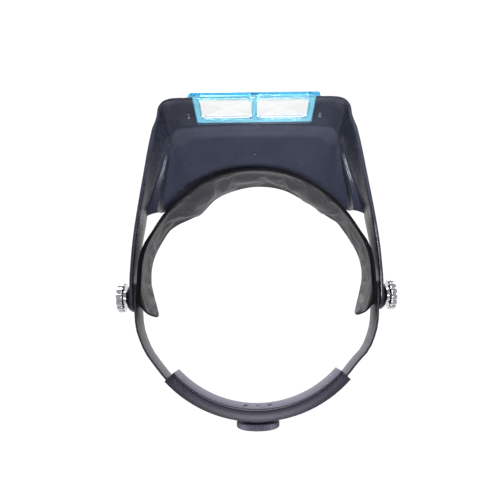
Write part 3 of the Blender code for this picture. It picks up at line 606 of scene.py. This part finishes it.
ROOF_FRONT = ((0, -123.5, -17), (30, -123.4, -17), (52, -123.0, -16.8), (59, -122.2, -16.5),
              (63.5, -120.3, -16), (66.3, -117.3, -15), (68.3, -113.5, -12.5), (70.0, -110.8, -9),
              (71.6, -108.0, -3.5), (75.0, -101.0, 5), (78.8, -90.5, 15), (82.0, -79.0, 23),
              (84.3, -67.0, 28))
ROOF_REAR = ((0, -104.0, 39), (26, -101.5, 39), (44, -96.0, 39), (52, -92.0, 38.7), (57.5, -88.7, 38.3),
             (62, -85.6, 37.8), (65.5, -82.9, 37.2), (68.3, -80.5, 36.6), (70.8, -78.2, 36),
             (74.5, -74.8, 34.8), (77.6, -71.9, 33.6), (80.2, -70.6, 32.4), (82.4, -69.2, 31))
# How far the roof stands out of the straight line from its front to its rear edge, in mm
ROOF_BULGE = (2.0, 2.0, 2.0, 1.8, 1.5, 1.2, 1.0, 0.8, 0.6, 0.4, 0.3, 0.2, 0.0)
# How sharp the moulded steps are along the rails, by rail, and round the corner, by column
RAIL_CREASES = {1: 0.75, 2: 0.9, 3: 0.86}
COLUMN_CREASES = {5: 0.35, 6: 0.75, 8: 0.8, 12: 0.5}
RIM_CREASE = 0.6
MIRROR_SEAM = 0.0001
# The arm: outer face x, y, lower and upper edge, in mm, then a half circle about the pivot
ARM = ((95.0, -51.0, -14.5, 13.5), (96.9, -42.0, -11.5, 14.5), (98.9, -30.0, -8.5, 16),
       (100.4, -18.0, -5, 18.5), (101.9, -6.0, -1.5, 22.5))
ARM_OUT_X = 101.9 * MM
ACROSS_BOTH_ARMS = 0.24
ARM_END_R = 12.0
ARM_END_DEGREES = (0, 22, 44, 62, 76, 86)
HOOD_WALL = 2.2 * MM
HOOD_EDGE_R = 0.6 * MM
# The lens plate's notch in the front wall: half width, lower and upper edge, half depth, in mm
NOTCH = (44.6, -27.1, 15.8, 8)
# Ribs on the side walls: how far up between the two steps, from which column on, and their radius
RIB_SHARES = (0.30, 0.62)
RIB_FIRST_COLUMN = 8
RIB_R = 0.7 * MM
RIB_POINTS = 24


def crease(bm, layer, points, amount):
    """Sharpen the edges that run between any two of the points or their mirror images."""
    spots = {tuple(round(c, 6) for c in (p.x * side, p.y, p.z)) for p in points for side in (1, -1)}
    for edge in bm.edges:
        if all(tuple(round(c, 6) for c in vert.co) in spots for vert in edge.verts):
            edge[layer] = amount


def hood_sheet():
    """The hood's outer face as a cage for subdivision, sharpest along its moulded steps."""
    lines = (HOOD_RIM, HOOD_STEP_LOW, HOOD_STEP_HIGH, ROOF_FRONT, ROOF_REAR)
    rails = [[Vector(p) * MM for p in line] for line in lines]
    middle = [(front + rear) / 2 for front, rear in zip(rails[3], rails[4])]
    for point, bulge in zip(middle, ROOF_BULGE):
        point += Vector((0, -bulge, bulge * 0.4)) * MM
    rails.insert(4, middle)
    arm = [(Vector((x, y, low)) * MM, Vector((x, y, high)) * MM) for x, y, low, high in ARM]
    for degrees in ARM_END_DEGREES:
        angle = math.radians(degrees)
        y, rise = ARM_END_R * math.sin(angle) * MM, ARM_END_R * math.cos(angle) * MM
        arm.append((PIVOT + Vector((ARM_OUT_X, y, -rise)), PIVOT + Vector((ARM_OUT_X, y, rise))))
    bm = bmesh.new()
    sharp = bm.edges.layers.float.new("crease_edge")
    for side in (1, -1):
        flip = Vector((side, 1, 1))
        rows = [[bm.verts.new(point * flip) for point in rail] for rail in rails]
        for first, second in zip(rows, rows[1:]):
            for step in range(len(first) - 1):
                bm.faces.new((first[step], first[step + 1], second[step + 1], second[step]))
        low, high = rows[0][-1], rows[1][-1]
        for low_point, high_point in arm:
            ahead = bm.verts.new(low_point * flip), bm.verts.new(high_point * flip)
            bm.faces.new((low, ahead[0], ahead[1], high))
            low, high = ahead
    bmesh.ops.remove_doubles(bm, verts=bm.verts, dist=MIRROR_SEAM)
    bmesh.ops.recalc_face_normals(bm, faces=bm.faces)
    bm.verts.index_update()
    for row, amount in RAIL_CREASES.items():
        crease(bm, sharp, rails[row], amount)
    for column, amount in COLUMN_CREASES.items():
        crease(bm, sharp, [rail[column] for rail in rails[:4]], amount)
    for edge in bm.edges:
        if edge.is_boundary:
            edge[sharp] = RIM_CREASE
    mesh = bpy.data.meshes.new("hood")
    bm.to_mesh(mesh)
    bm.free()
    return mesh


def on_plate(piece):
    """Move a helper from the lens plate's own frame to where the plate is."""
    piece.matrix_world = LENS_MATRIX @ piece.matrix_world
    return piece


def box_tool(name, low, high):
    """A box between two corners, to cut with."""
    bm = bmesh.new()
    bmesh.ops.create_cube(bm, size=1.0)
    bmesh.ops.scale(bm, vec=Vector(high) - Vector(low), verts=bm.verts)
    bmesh.ops.translate(bm, vec=(Vector(high) + Vector(low)) / 2, verts=bm.verts)
    return loose_object(name, mesh_from(bm, name))


def make_hood():
    """The shell: the outer face subdivided, given its wall and rounded edges, then notched and drilled."""
    hood = loose_object("hood", hood_sheet())
    smooth = hood.modifiers.new("smooth", "SUBSURF")
    smooth.levels = 2
    smooth.boundary_smooth = "PRESERVE_CORNERS"
    wall = hood.modifiers.new("wall", "SOLIDIFY")
    wall.thickness = HOOD_WALL
    wall.offset = -1.0
    wall.use_even_offset = True
    wall.use_quality_normals = True
    edge = hood.modifiers.new("edge", "BEVEL")
    edge.width = HOOD_EDGE_R
    edge.segments = 3
    edge.limit_method = "ANGLE"
    edge.angle_limit = math.radians(60)
    half_x, low, high, half_y = (v * MM for v in NOTCH)
    notch = on_plate(box_tool("notch", (-half_x, -half_y, low), (half_x, half_y, high)))
    cut(hood, notch)
    screws = on_plate(rods("screw_holes", (0, 1, 0), LENS_SCREW_HOLE_R, LENS_SCREW_HOLE_DEPTH, LENS_SCREWS))
    cut(hood, screws)
    pivots = rods("pivot_holes", (1, 0, 0), BOLT_HOLE_R, ACROSS_BOTH_ARMS, [PIVOT])
    cut(hood, pivots)
    bpy.context.view_layer.update()
    mesh = settled(hood, notch, screws, pivots)
    make_ribs(mesh)
    place_piece("hood", mesh, "hood_plastic", "hood", "hood_shell")


def make_ribs(shell):
    """Low stiffening ribs along the inside of each side wall, and the moulding's gate mark in the roof."""
    bm = bmesh.new()
    bm.from_mesh(shell)
    wall = BVHTree.FromBMesh(bm)
    bm.free()
    curve = round_line("ribs", RIB_R, 3)
    curve.use_fill_caps = True
    low = [Vector(p) * MM for p in HOOD_STEP_LOW[RIB_FIRST_COLUMN:]]
    high = [Vector(p) * MM for p in HOOD_STEP_HIGH[RIB_FIRST_COLUMN:]]
    for side in (1, -1):
        flip = Vector((side, 1, 1))
        for share in RIB_SHARES:
            found = []
            for point in even_path([a.lerp(b, share) for a, b in zip(low, high)], RIB_POINTS)[1:-1]:
                inside = Vector((0, point.y + 25 * MM, point.z - 10 * MM))
                hit = wall.ray_cast(inside, (point * flip - inside).normalized())[0]
                if hit:
                    found.append(hit)
            from_ends = [min(number, len(found) - 1 - number) for number in range(len(found))]
            add_line(curve, found, [min(1.0, 0.3 + 0.3 * steps) for steps in from_ends])
    ribs = loose_object("rib_lines", curve)
    bpy.context.view_layer.update()
    place_piece("hood_ribs", settled(ribs), "hood_plastic", "hood")
    hit, normal = wall.ray_cast(Vector((0, -0.09, -0.02)), Vector((0, -0.6, 0.8)).normalized())[:2]
    mark = spun("gate", [(0, 0.45), (0.7, 0.40), (1.1, 0.0), (1.1, -0.5), (0, -0.5)], hit, normal, 20)
    place_piece("gate_mark", mark, "hood_plastic", "hood")


# ---------- lens plate ----------

WINDOW_SIZE = (38.0 * MM, 27.2 * MM)
WINDOW_AT = (21.1 * MM, -3.4 * MM)
WINDOW_CORNER = 4.0 * MM
# Width, height, corner radius and middle of the flange's and the body's outline
FLANGE = (96.8 * MM, 38.6 * MM, 3.0 * MM, 0, -0.3 * MM)
BODY = (88.4 * MM, 34.0 * MM, 2.0 * MM, 0, -1.6 * MM)
EAR_R = 4.6 * MM
# How far behind the plate's middle each part starts and ends
FLANGE_DEPTH = (0.3 * MM, 3.0 * MM)
BODY_DEPTH = (-1.2 * MM, 2.0 * MM)
EAR_DEPTH = (0.5 * MM, 2.8 * MM)
BEAD_DEPTHS = ((-1.9 * MM, 0.0), (2.0 * MM, 3.6 * MM))
BEAD_WIDTH = 1.2 * MM
LENS_EDGE_HALF = 1.2 * MM
LENS_CROWN = 0.6 * MM
LENS_CLEARANCE = 0.3 * MM
LENS_RINGS = 9
LENS_Y = -1.0 * MM


def window_line(side, grow=0.0):
    """A window's outline in the plate's own frame, made larger all round by grow."""
    return rounded_rectangle(WINDOW_SIZE[0] + 2 * grow, WINDOW_SIZE[1] + 2 * grow, WINDOW_CORNER + grow,
                             side * WINDOW_AT[0], WINDOW_AT[1])


def make_lens_plate():
    """Flange in front of the hood's wall, body in its notch, ears, and a raised bead round each window."""
    windows = [window_line(side) for side in (-1, 1)]
    flange = rounded_slab("plate", [rounded_rectangle(*FLANGE), *windows], *FLANGE_DEPTH, 0.5 * MM)
    plate = loose_object("lens_plate", stood_up(flange))
    body = rounded_slab("body", [rounded_rectangle(*BODY), *windows], *BODY_DEPTH, 0.4 * MM)
    helpers = [loose_object("body", stood_up(body))]
    for side in (-1, 1):
        ear = rounded_slab("ear", [circle(EAR_R, 40, (side * EAR_X, EAR_Z))], *EAR_DEPTH, 0.4 * MM)
        helpers.append(loose_object("ear", stood_up(ear)))
        bead_lines = [window_line(side, BEAD_WIDTH), window_line(side, 0.02 * MM)]
        for depths in BEAD_DEPTHS:
            bead = rounded_slab("bead", bead_lines, *depths, 0.35 * MM)
            helpers.append(loose_object("bead", stood_up(bead)))
    for helper in helpers:
        cut(plate, helper, "UNION")
    holes = rods("ear_holes", (0, 1, 0), LENS_SCREW_HOLE_R, LENS_SCREW_HOLE_DEPTH, LENS_SCREWS)
    cut(plate, holes)
    bpy.context.view_layer.update()
    mesh = settled(plate, holes, *helpers)
    mesh.transform(LENS_MATRIX)
    place_piece("lens_plate", mesh, "lens_frame_plastic", "hood", "lens_frame")
    for name, side in (("lens_left", 1), ("lens_right", -1)):
        make_lens(name, side)


def lens_face(bm, outline, way):
    """One domed face, its middle towards way along Y; the points of its rim."""
    rows = []
    for ring in range(1, LENS_RINGS + 1):
        share = math.sin(math.pi / 2 * ring / LENS_RINGS)
        depth = LENS_EDGE_HALF + LENS_CROWN * (1 - share ** 2)
        rows.append([bm.verts.new((x * share, way * depth, y * share)) for x, y in outline])
    middle = bm.verts.new((0, way * (LENS_EDGE_HALF + LENS_CROWN), 0))
    for step in range(len(outline)):
        after = (step + 1) % len(outline)
        bm.faces.new((middle, rows[0][step], rows[0][after]))
        for first, second in zip(rows, rows[1:]):
            bm.faces.new((first[step], second[step], second[after], first[after]))
    return rows[-1]


def make_lens(name, side):
    """A biconvex lens with a rounded-rectangle outline: rings from its middle to its ground edge."""
    outline = [(x - side * WINDOW_AT[0], y - WINDOW_AT[1]) for x, y in window_line(side, -LENS_CLEARANCE)]
    bm = bmesh.new()
    front, back = lens_face(bm, outline, -1), lens_face(bm, outline, 1)
    for step in range(len(outline)):
        after = (step + 1) % len(outline)
        bm.faces.new((front[step], back[step], back[after], front[after]))
    mesh = mesh_from(bm, name + "_glass")
    mesh.transform(LENS_MATRIX @ Matrix.Translation((side * WINDOW_AT[0], LENS_Y, WINDOW_AT[1])))
    place_piece(name + "_glass", mesh, "lens_glass", "hood", name)


# ---------- forehead pad ----------

# The face's upper edge in plan on each side, from the middle of the forehead back, x and y in mm.
# Most of these points were copied from the output of a script that measured the pad's edge in the
# photograph every six degrees: they were not drawn by hand, as the other outlines here were
PAD_INNER_LEFT = ((0, -91.9), (14, -91.2), (27.1, -87.8), (35.7, -83.3), (43.9, -78.2), (51.7, -73),
                  (59.2, -67.2), (67.2, -61.8), (75.4, -56.3), (82, -48.8), (86, -39.5), (88.6, -29.6),
                  (90, -19.6), (90.0, -9.7), (89.4, -4))
PAD_INNER_RIGHT = ((0, -91.9), (11.4, -90.3), (20.7, -87.7), (29.6, -84.2), (37.6, -79.1), (44.2, -72),
                   (51.1, -66.3), (59.5, -62.3), (68.6, -58.1), (76.8, -52.2), (82.4, -44), (85.8, -34.5),
                   (88.4, -24.9), (89.6, -15.2), (89.4, -4))
# Round each tail: the back along the band, and the face towards the head
PAD_TAIL_NEAR = ((92.3, 6), (92.0, 12.5), (91.0, 17.0), (89.2, 20.4), (86.6, 22.6), (83.6, 23.4))
PAD_TAIL_FACE = ((89.4, -4), (87.0, 6), (85.2, 12), (83.8, 17.0), (82.8, 20.0), (82.4, 22.0), (83.0, 23.2))
# Side view: how high the upper and the lower edge run, as y and z
PAD_TOP = ((-52, 37.5), (-40, 34.5), (-26, 27.5), (-14, 25), (14, 25.2), (20, 24.2), (23.6, 21.5))
PAD_BOTTOM = ((-56, -0.5), (-50, -1.2), (-42, -3.2), (-34, -5.8), (-26, -7.2), (8, -7.2), (13, -5.4),
              (17, -2.0), (20.5, 3.5), (22.6, 10), (23.4, 15.5))
PAD_TAIL_SIZE = 0.06
PAD_FRONT_STATIONS = 130
PAD_TAIL_STATIONS = 16
PAD_ROWS = 15
PAD_BACK_ROWS = (0.94, 0.7, 0.45, 0.25)
PAD_THINNEST = 1.3 * MM
PAD_HUB = Vector((0.0, -20.0)) * MM
# Gathers in the leather: place along the pad (-1 wearer's right end, 1 left end), lean, width, height in mm
PAD_FOLDS = ((-0.115, -0.05, 0.022, 1.7), (-0.205, -0.07, 0.022, 1.9), (-0.31, -0.09, 0.026, 2.0),
             (-0.42, -0.08, 0.030, 1.6), (-0.55, -0.05, 0.040, 1.2), (-0.02, 0.02, 0.030, 0.9),
             (0.06, 0.03, 0.022, 1.1), (0.145, 0.04, 0.022, 1.4), (0.25, 0.05, 0.024, 1.5),
             (0.36, 0.05, 0.026, 1.6), (0.45, 0.04, 0.028, 1.4), (0.57, 0.03, 0.040, 1.0))
# Where the pad lies on the bolts' heads, its back stands off the band
BOLT_HEAD_DEPTH = 2.2 * MM
BOLT_HEAD_REACH = 10 * MM
# The cloth: frames, pressure, and how far a point may go at most and how near the back
CLOTH_FRAMES = 20
CLOTH_PRESSURE = 4.0
CLOTH_CAP = 2.2 * MM
CLOTH_LEAST = 0.3 * MM
PIPING_R = 0.8 * MM
BAND_HALF_X, BAND_HALF_Y, BAND_POWER = 97.6 * MM, 106.6 * MM, 2.05
BAND_INSET = 2.5 * MM
BAND_PINCH = 3.0 * MM
BAND_PINCH_FROM_Y = -36 * MM


def band_inner_line(degrees):
    """The pad's back in plan, just inside the band: a superellipse whose ends are drawn in to the pivots."""
    angle = math.radians(degrees)
    y = PIVOT.y - (BAND_HALF_Y - BAND_INSET) * abs(math.cos(angle)) ** (2 / BAND_POWER)
    x = (BAND_HALF_X - BAND_INSET) * abs(math.sin(angle)) ** (2 / BAND_POWER)
    share = min(max((y - BAND_PINCH_FROM_Y) / (PIVOT.y - BAND_PINCH_FROM_Y), 0.0), 1.0)
    x -= BAND_PINCH * share * share * (3 - 2 * share)
    return math.copysign(x, math.sin(angle)), y


def between(table, value):
    """Straight-line interpolation in a table of pairs, held at its ends."""
    if value <= table[0][0]:
        return table[0][1]
    for (x0, y0), (x1, y1) in zip(table, table[1:]):
        if value <= x1:
            return y0 + (y1 - y0) * (value - x0) / (x1 - x0)
    return table[-1][1]


def nearest_on(path, point):
    """The spot on a path of straight runs that is nearest to a point."""
    best = None
    for first, second in zip(path, path[1:]):
        run = second - first
        share = min(max((point - first).dot(run) / run.length_squared, 0), 1)
        spot = first + run * share
        if best is None or (spot - point).length < (best - point).length:
            best = spot
    return best


def pad_fold(along, up):
    """How far the leather stands out or in at a place along the pad and up its face, in metres."""
    ridge = 0.0
    for place, lean, width, height in PAD_FOLDS:
        away = (along - place - lean * up) / (width * (1 + 1.2 * up))
        ridge += height * math.exp(-away * away)
    hollow = 1.1 * math.exp(-((up - 0.22) / 0.17) ** 2)
    fade = math.sin(math.pi * min(up * 1.15 + 0.05, 1)) ** 0.6
    return (ridge * (1 - 0.55 * up) - hollow) * fade * MM


def thick_enough(near, inner):
    """The back's and the face's plan point, the face's moved off the band where the pad would vanish."""
    outward = (near - PAD_HUB).normalized()
    return near, inner - outward * max(PAD_THINNEST - (near - inner).dot(outward), 0.0)


def pad_sections():
    """Stations along the pad: the back's and the face's plan points, low and high z."""
    left = [Vector((x, y)) * MM for x, y in PAD_INNER_LEFT]
    right = [Vector((-x, y)) * MM for x, y in PAD_INNER_RIGHT]
    face = even_path(right[::-1] + left[1:], PAD_FRONT_STATIONS)
    band = [Vector(band_inner_line(degrees)) for degrees in range(-84, 85, 2)]
    pairs = [thick_enough(nearest_on(band, point), point) for point in face]
    near_tail = even_path([pairs[-1][0]] + [Vector(p) * MM for p in PAD_TAIL_NEAR], PAD_TAIL_STATIONS + 1)
    face_tail = even_path([Vector(p) * MM for p in PAD_TAIL_FACE], PAD_TAIL_STATIONS + 1)
    tail = list(zip(near_tail, face_tail))[1:]
    mirror = Vector((-1, 1))
    pairs = [(near * mirror, inner * mirror) for near, inner in tail[::-1]] + pairs + tail
    return [(near, inner, between(PAD_BOTTOM, near.y / MM) * MM, between(PAD_TOP, inner.y / MM) * MM)
            for near, inner in pairs]


def pad_mesh(sections):
    """Closed pad: a flat back towards the band and a cushioned face that leans in over its height.

    With it comes a guard for every point: whether it is sewn down, the way off the band, and how far
    the point may go back towards the band.
    """
    bm = bmesh.new()
    rings, guards = [], []
    for number, (near, inner, low, high) in enumerate(sections):
        along = 2 * number / (len(sections) - 1) - 1
        deep = (inner - near).length
        way = (inner - near).normalized()
        end = min(1.0, (1 - abs(along)) / PAD_TAIL_SIZE)
        clear = BOLT_HEAD_DEPTH * math.exp(-((near.y - PIVOT.y) / BOLT_HEAD_REACH) ** 4)
        ring = []
        for row in range(PAD_ROWS + 1):
            up = row / PAD_ROWS
            lean = 0.05 + 0.95 * (1 - (1 - up) ** 1.9) ** 0.75
            spot = near + way * (deep * lean + pad_fold(along, up) * end * min(deep / (6 * MM), 1.0))
            ring.append(bm.verts.new((spot.x, spot.y, low + (high - low) * up)))
            sewn = row in (0, PAD_ROWS)
            guards.append((sewn, way.to_3d(), max((spot - near).dot(way) - CLOTH_LEAST, 0.0)))
        for up in PAD_BACK_ROWS:
            spot = near + way * min(clear, deep * 0.4)
            ring.append(bm.verts.new((spot.x, spot.y, low + (high - low) * up)))
            guards.append((True, way.to_3d(), 0.0))
        rings.append(ring)
    for first, second in zip(rings, rings[1:]):
        for step in range(len(first)):
            after = (step + 1) % len(first)
            bm.faces.new((first[step], first[after], second[after], second[step]))
    for ring in (rings[0], rings[-1]):
        bm.faces.new(ring)
    bmesh.ops.triangulate(bm, faces=[face for face in bm.faces if len(face.verts) > 4])
    return mesh_from(bm, "pad"), guards


def puff(piece, guards):
    """Let the leather swell and buckle between its sewn edges, short of the cap and of the band behind."""
    rest = [vert.co.copy() for vert in piece.data.vertices]
    group = piece.vertex_groups.new(name="sewn")
    group.add([number for number, guard in enumerate(guards) if guard[0]], 1.0, "REPLACE")
    cloth = piece.modifiers.new("leather", "CLOTH")
    cloth.settings.vertex_group_mass = "sewn"
    cloth.settings.quality = 6
    cloth.settings.mass = 0.4
    cloth.settings.tension_stiffness = 25
    cloth.settings.compression_stiffness = 25
    cloth.settings.shear_stiffness = 10
    cloth.settings.bending_stiffness = 1.5
    cloth.settings.shrink_min = -0.05
    cloth.settings.use_pressure = True
    cloth.settings.uniform_pressure_force = CLOTH_PRESSURE
    cloth.settings.effector_weights.gravity = 0.0
    cloth.collision_settings.use_collision = False
    scene = bpy.context.scene
    for number in range(1, CLOTH_FRAMES + 1):
        scene.frame_set(number)
    depsgraph = bpy.context.evaluated_depsgraph_get()
    moved = [vert.co.copy() for vert in piece.evaluated_get(depsgraph).data.vertices]
    piece.modifiers.remove(cloth)
    scene.frame_set(1)
    for vert, start, end, (_, off, room) in zip(piece.data.vertices, rest, moved, guards):
        step = end - start
        if step.length > CLOTH_CAP:
            step *= CLOTH_CAP / step.length
        vert.co = start + step + off * max(-step.dot(off) - room, 0.0)


def make_pad():
    """The leather pad and the piping round it."""
    sections = pad_sections()
    mesh, guards = pad_mesh(sections)
    pad = loose_object("pad", mesh)
    puff(pad, guards)
    smooth = pad.modifiers.new("smooth", "SUBSURF")
    smooth.levels = 1
    bpy.context.view_layer.update()
    pad = place_piece("pad", settled(pad), "pad_leather", "headband", "forehead_pad")
    make_piping(sections)


def make_piping(sections):
    """A bound black edge all the way round the pad, thicker along its lower edge."""
    near_edge, far_edge = [], []
    for near, inner, low, high in sections:
        way = (inner - near) * min(0.6 * MM / (inner - near).length, 0.3)
        near_edge.append(Vector((near.x + way.x, near.y + way.y, low + 0.5 * MM)))
        far_edge.append(Vector((inner.x - way.x, inner.y - way.y, high - 0.4 * MM)))
    curve = round_line("pad_piping", PIPING_R, 2)
    widths = [1.0] * len(near_edge) + [0.7] * len(far_edge)
    add_line(curve, near_edge + far_edge[::-1], widths, closed=True)
    tube = loose_object("piping_line", curve)
    bpy.context.view_layer.update()
    place_piece("pad_piping", settled(tube), "piping", "headband", slot="band_fibre")


# ---------- chrome nuts and the adjuster's knob ----------

NUT_LOBES = 13
NUT_OUT_X, NUT_LENGTH = 114.6, 9.0
NUT_HEAD_R, NUT_LOBE_HEIGHT = 10.9, 1.4
# Turned profiles as radius and height, in mm
NUT_DOME = ((0, 8.6), (3.5, 8.5), (6.5, 8.1), (8.6, 7.5), (9.4, 6.9), (9.4, 5.0), (0, 5.0))
NUT_NECK = ((0, 4.0), (5.6, 4.0), (5.6, 0.9), (5.3, 0.6), (0, 0.6))
KNOB_RIBS = 60
KNOB_R, KNOB_RIB_HEIGHT = 16.6, 0.4
# The knob's outer end as radius and depth below its face, in mm
KNOB_END = ((17.1, 2.0), (16.6, 0.9), (15.6, 0.2), (14.6, 0), (12.0, 0), (11.2, 0.5), (4.2, 0.6),
            (3.4, 0), (0, 0))
SHAFT_BORE_R = 2.8 * MM


def make_star_nut(name, side):
    """A lobed chrome head, domed on its outer face, on a round neck."""
    points = []
    for step in range(NUT_LOBES * 12):
        angle = 2 * math.pi * step / (NUT_LOBES * 12)
        wave = abs(math.sin(angle * NUT_LOBES / 2)) ** 0.7
        radius = (NUT_HEAD_R + NUT_LOBE_HEIGHT * wave) * MM
        points.append((radius * math.cos(angle), radius * math.sin(angle)))
    head = loose_object("head", rounded_slab("head", [points], 2.2 * MM, 7.2 * MM, 0.8 * MM))
    dome = loose_object("dome", spun("dome", NUT_DOME, (0, 0, 0), (0, 0, 1)))
    neck = loose_object("neck", spun("neck", NUT_NECK, (0, 0, 0), (0, 0, 1)))
    cut(head, dome, "UNION")
    cut(head, neck, "UNION")
    bore = rods("bore", (0, 0, 1), BOLT_HOLE_R, 16 * MM, [(0, 0, -2.2 * MM)])
    cut(head, bore)
    bpy.context.view_layer.update()
    mesh = settled(head, dome, neck, bore)
    turn = Matrix.Rotation(math.radians(90 * side), 4, "Y")
    mesh.transform(Matrix.Translation(PIVOT + Vector((side * (NUT_OUT_X - NUT_LENGTH) * MM, 0, 0))) @ turn)
    place_piece(name + "_chrome", mesh, "chrome", name.replace("pivot_", ""), name)


def make_knob():
    """A finely ribbed knob with a rounded outer edge and a recess for its screw."""
    low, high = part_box("adjuster_knob")
    depth = high.y - low.y
    points = []
    for step in range(KNOB_RIBS * 6):
        angle = 2 * math.pi * step / (KNOB_RIBS * 6)
        radius = KNOB_R * MM + KNOB_RIB_HEIGHT * MM * math.cos(angle * KNOB_RIBS)
        points.append((radius * math.cos(angle), radius * math.sin(angle)))
    knob = loose_object("knob", rounded_slab("knob", [points], 0, depth, 0.3 * MM))
    outer_end = [(radius, depth / MM - below) for radius, below in KNOB_END]
    profile = [(0, 0.0), (16.4, 0.0), (17.1, 0.5), *outer_end]
    shape = loose_object("shape", spun("shape", profile, (0, 0, 0), (0, 0, 1), 96))
    cut(knob, shape, "INTERSECT")
    bore = rods("bore", (0, 0, 1), SHAFT_BORE_R, 12 * MM, [(0, 0, -3.4 * MM)])
    sink = rods("sink", (0, 0, 1), 3.0 * MM, 3.0 * MM, [(0, 0, depth)])
    hole = rods("hole", (0, 0, 1), 1.3 * MM, 30 * MM, [(0, 0, 0)])
    for tool in (bore, sink, hole):
        cut(knob, tool)
    bpy.context.view_layer.update()
    mesh = settled(knob, shape, bore, sink, hole)
    turn = Matrix.Rotation(math.radians(-90), 4, "X")
    mesh.transform(Matrix.Translation((0, low.y, (low.z + high.z) / 2)) @ turn)
    place_piece("knob", mesh, "knob_plastic", "knob", "adjuster_knob")


make_camera()
make_studio()
dress_nodes()
make_hood()
make_lens_plate()
make_pad()
make_star_nut("pivot_nut_left", 1)
make_star_nut("pivot_nut_right", -1)
make_knob()

bpy.context.view_layer.update()
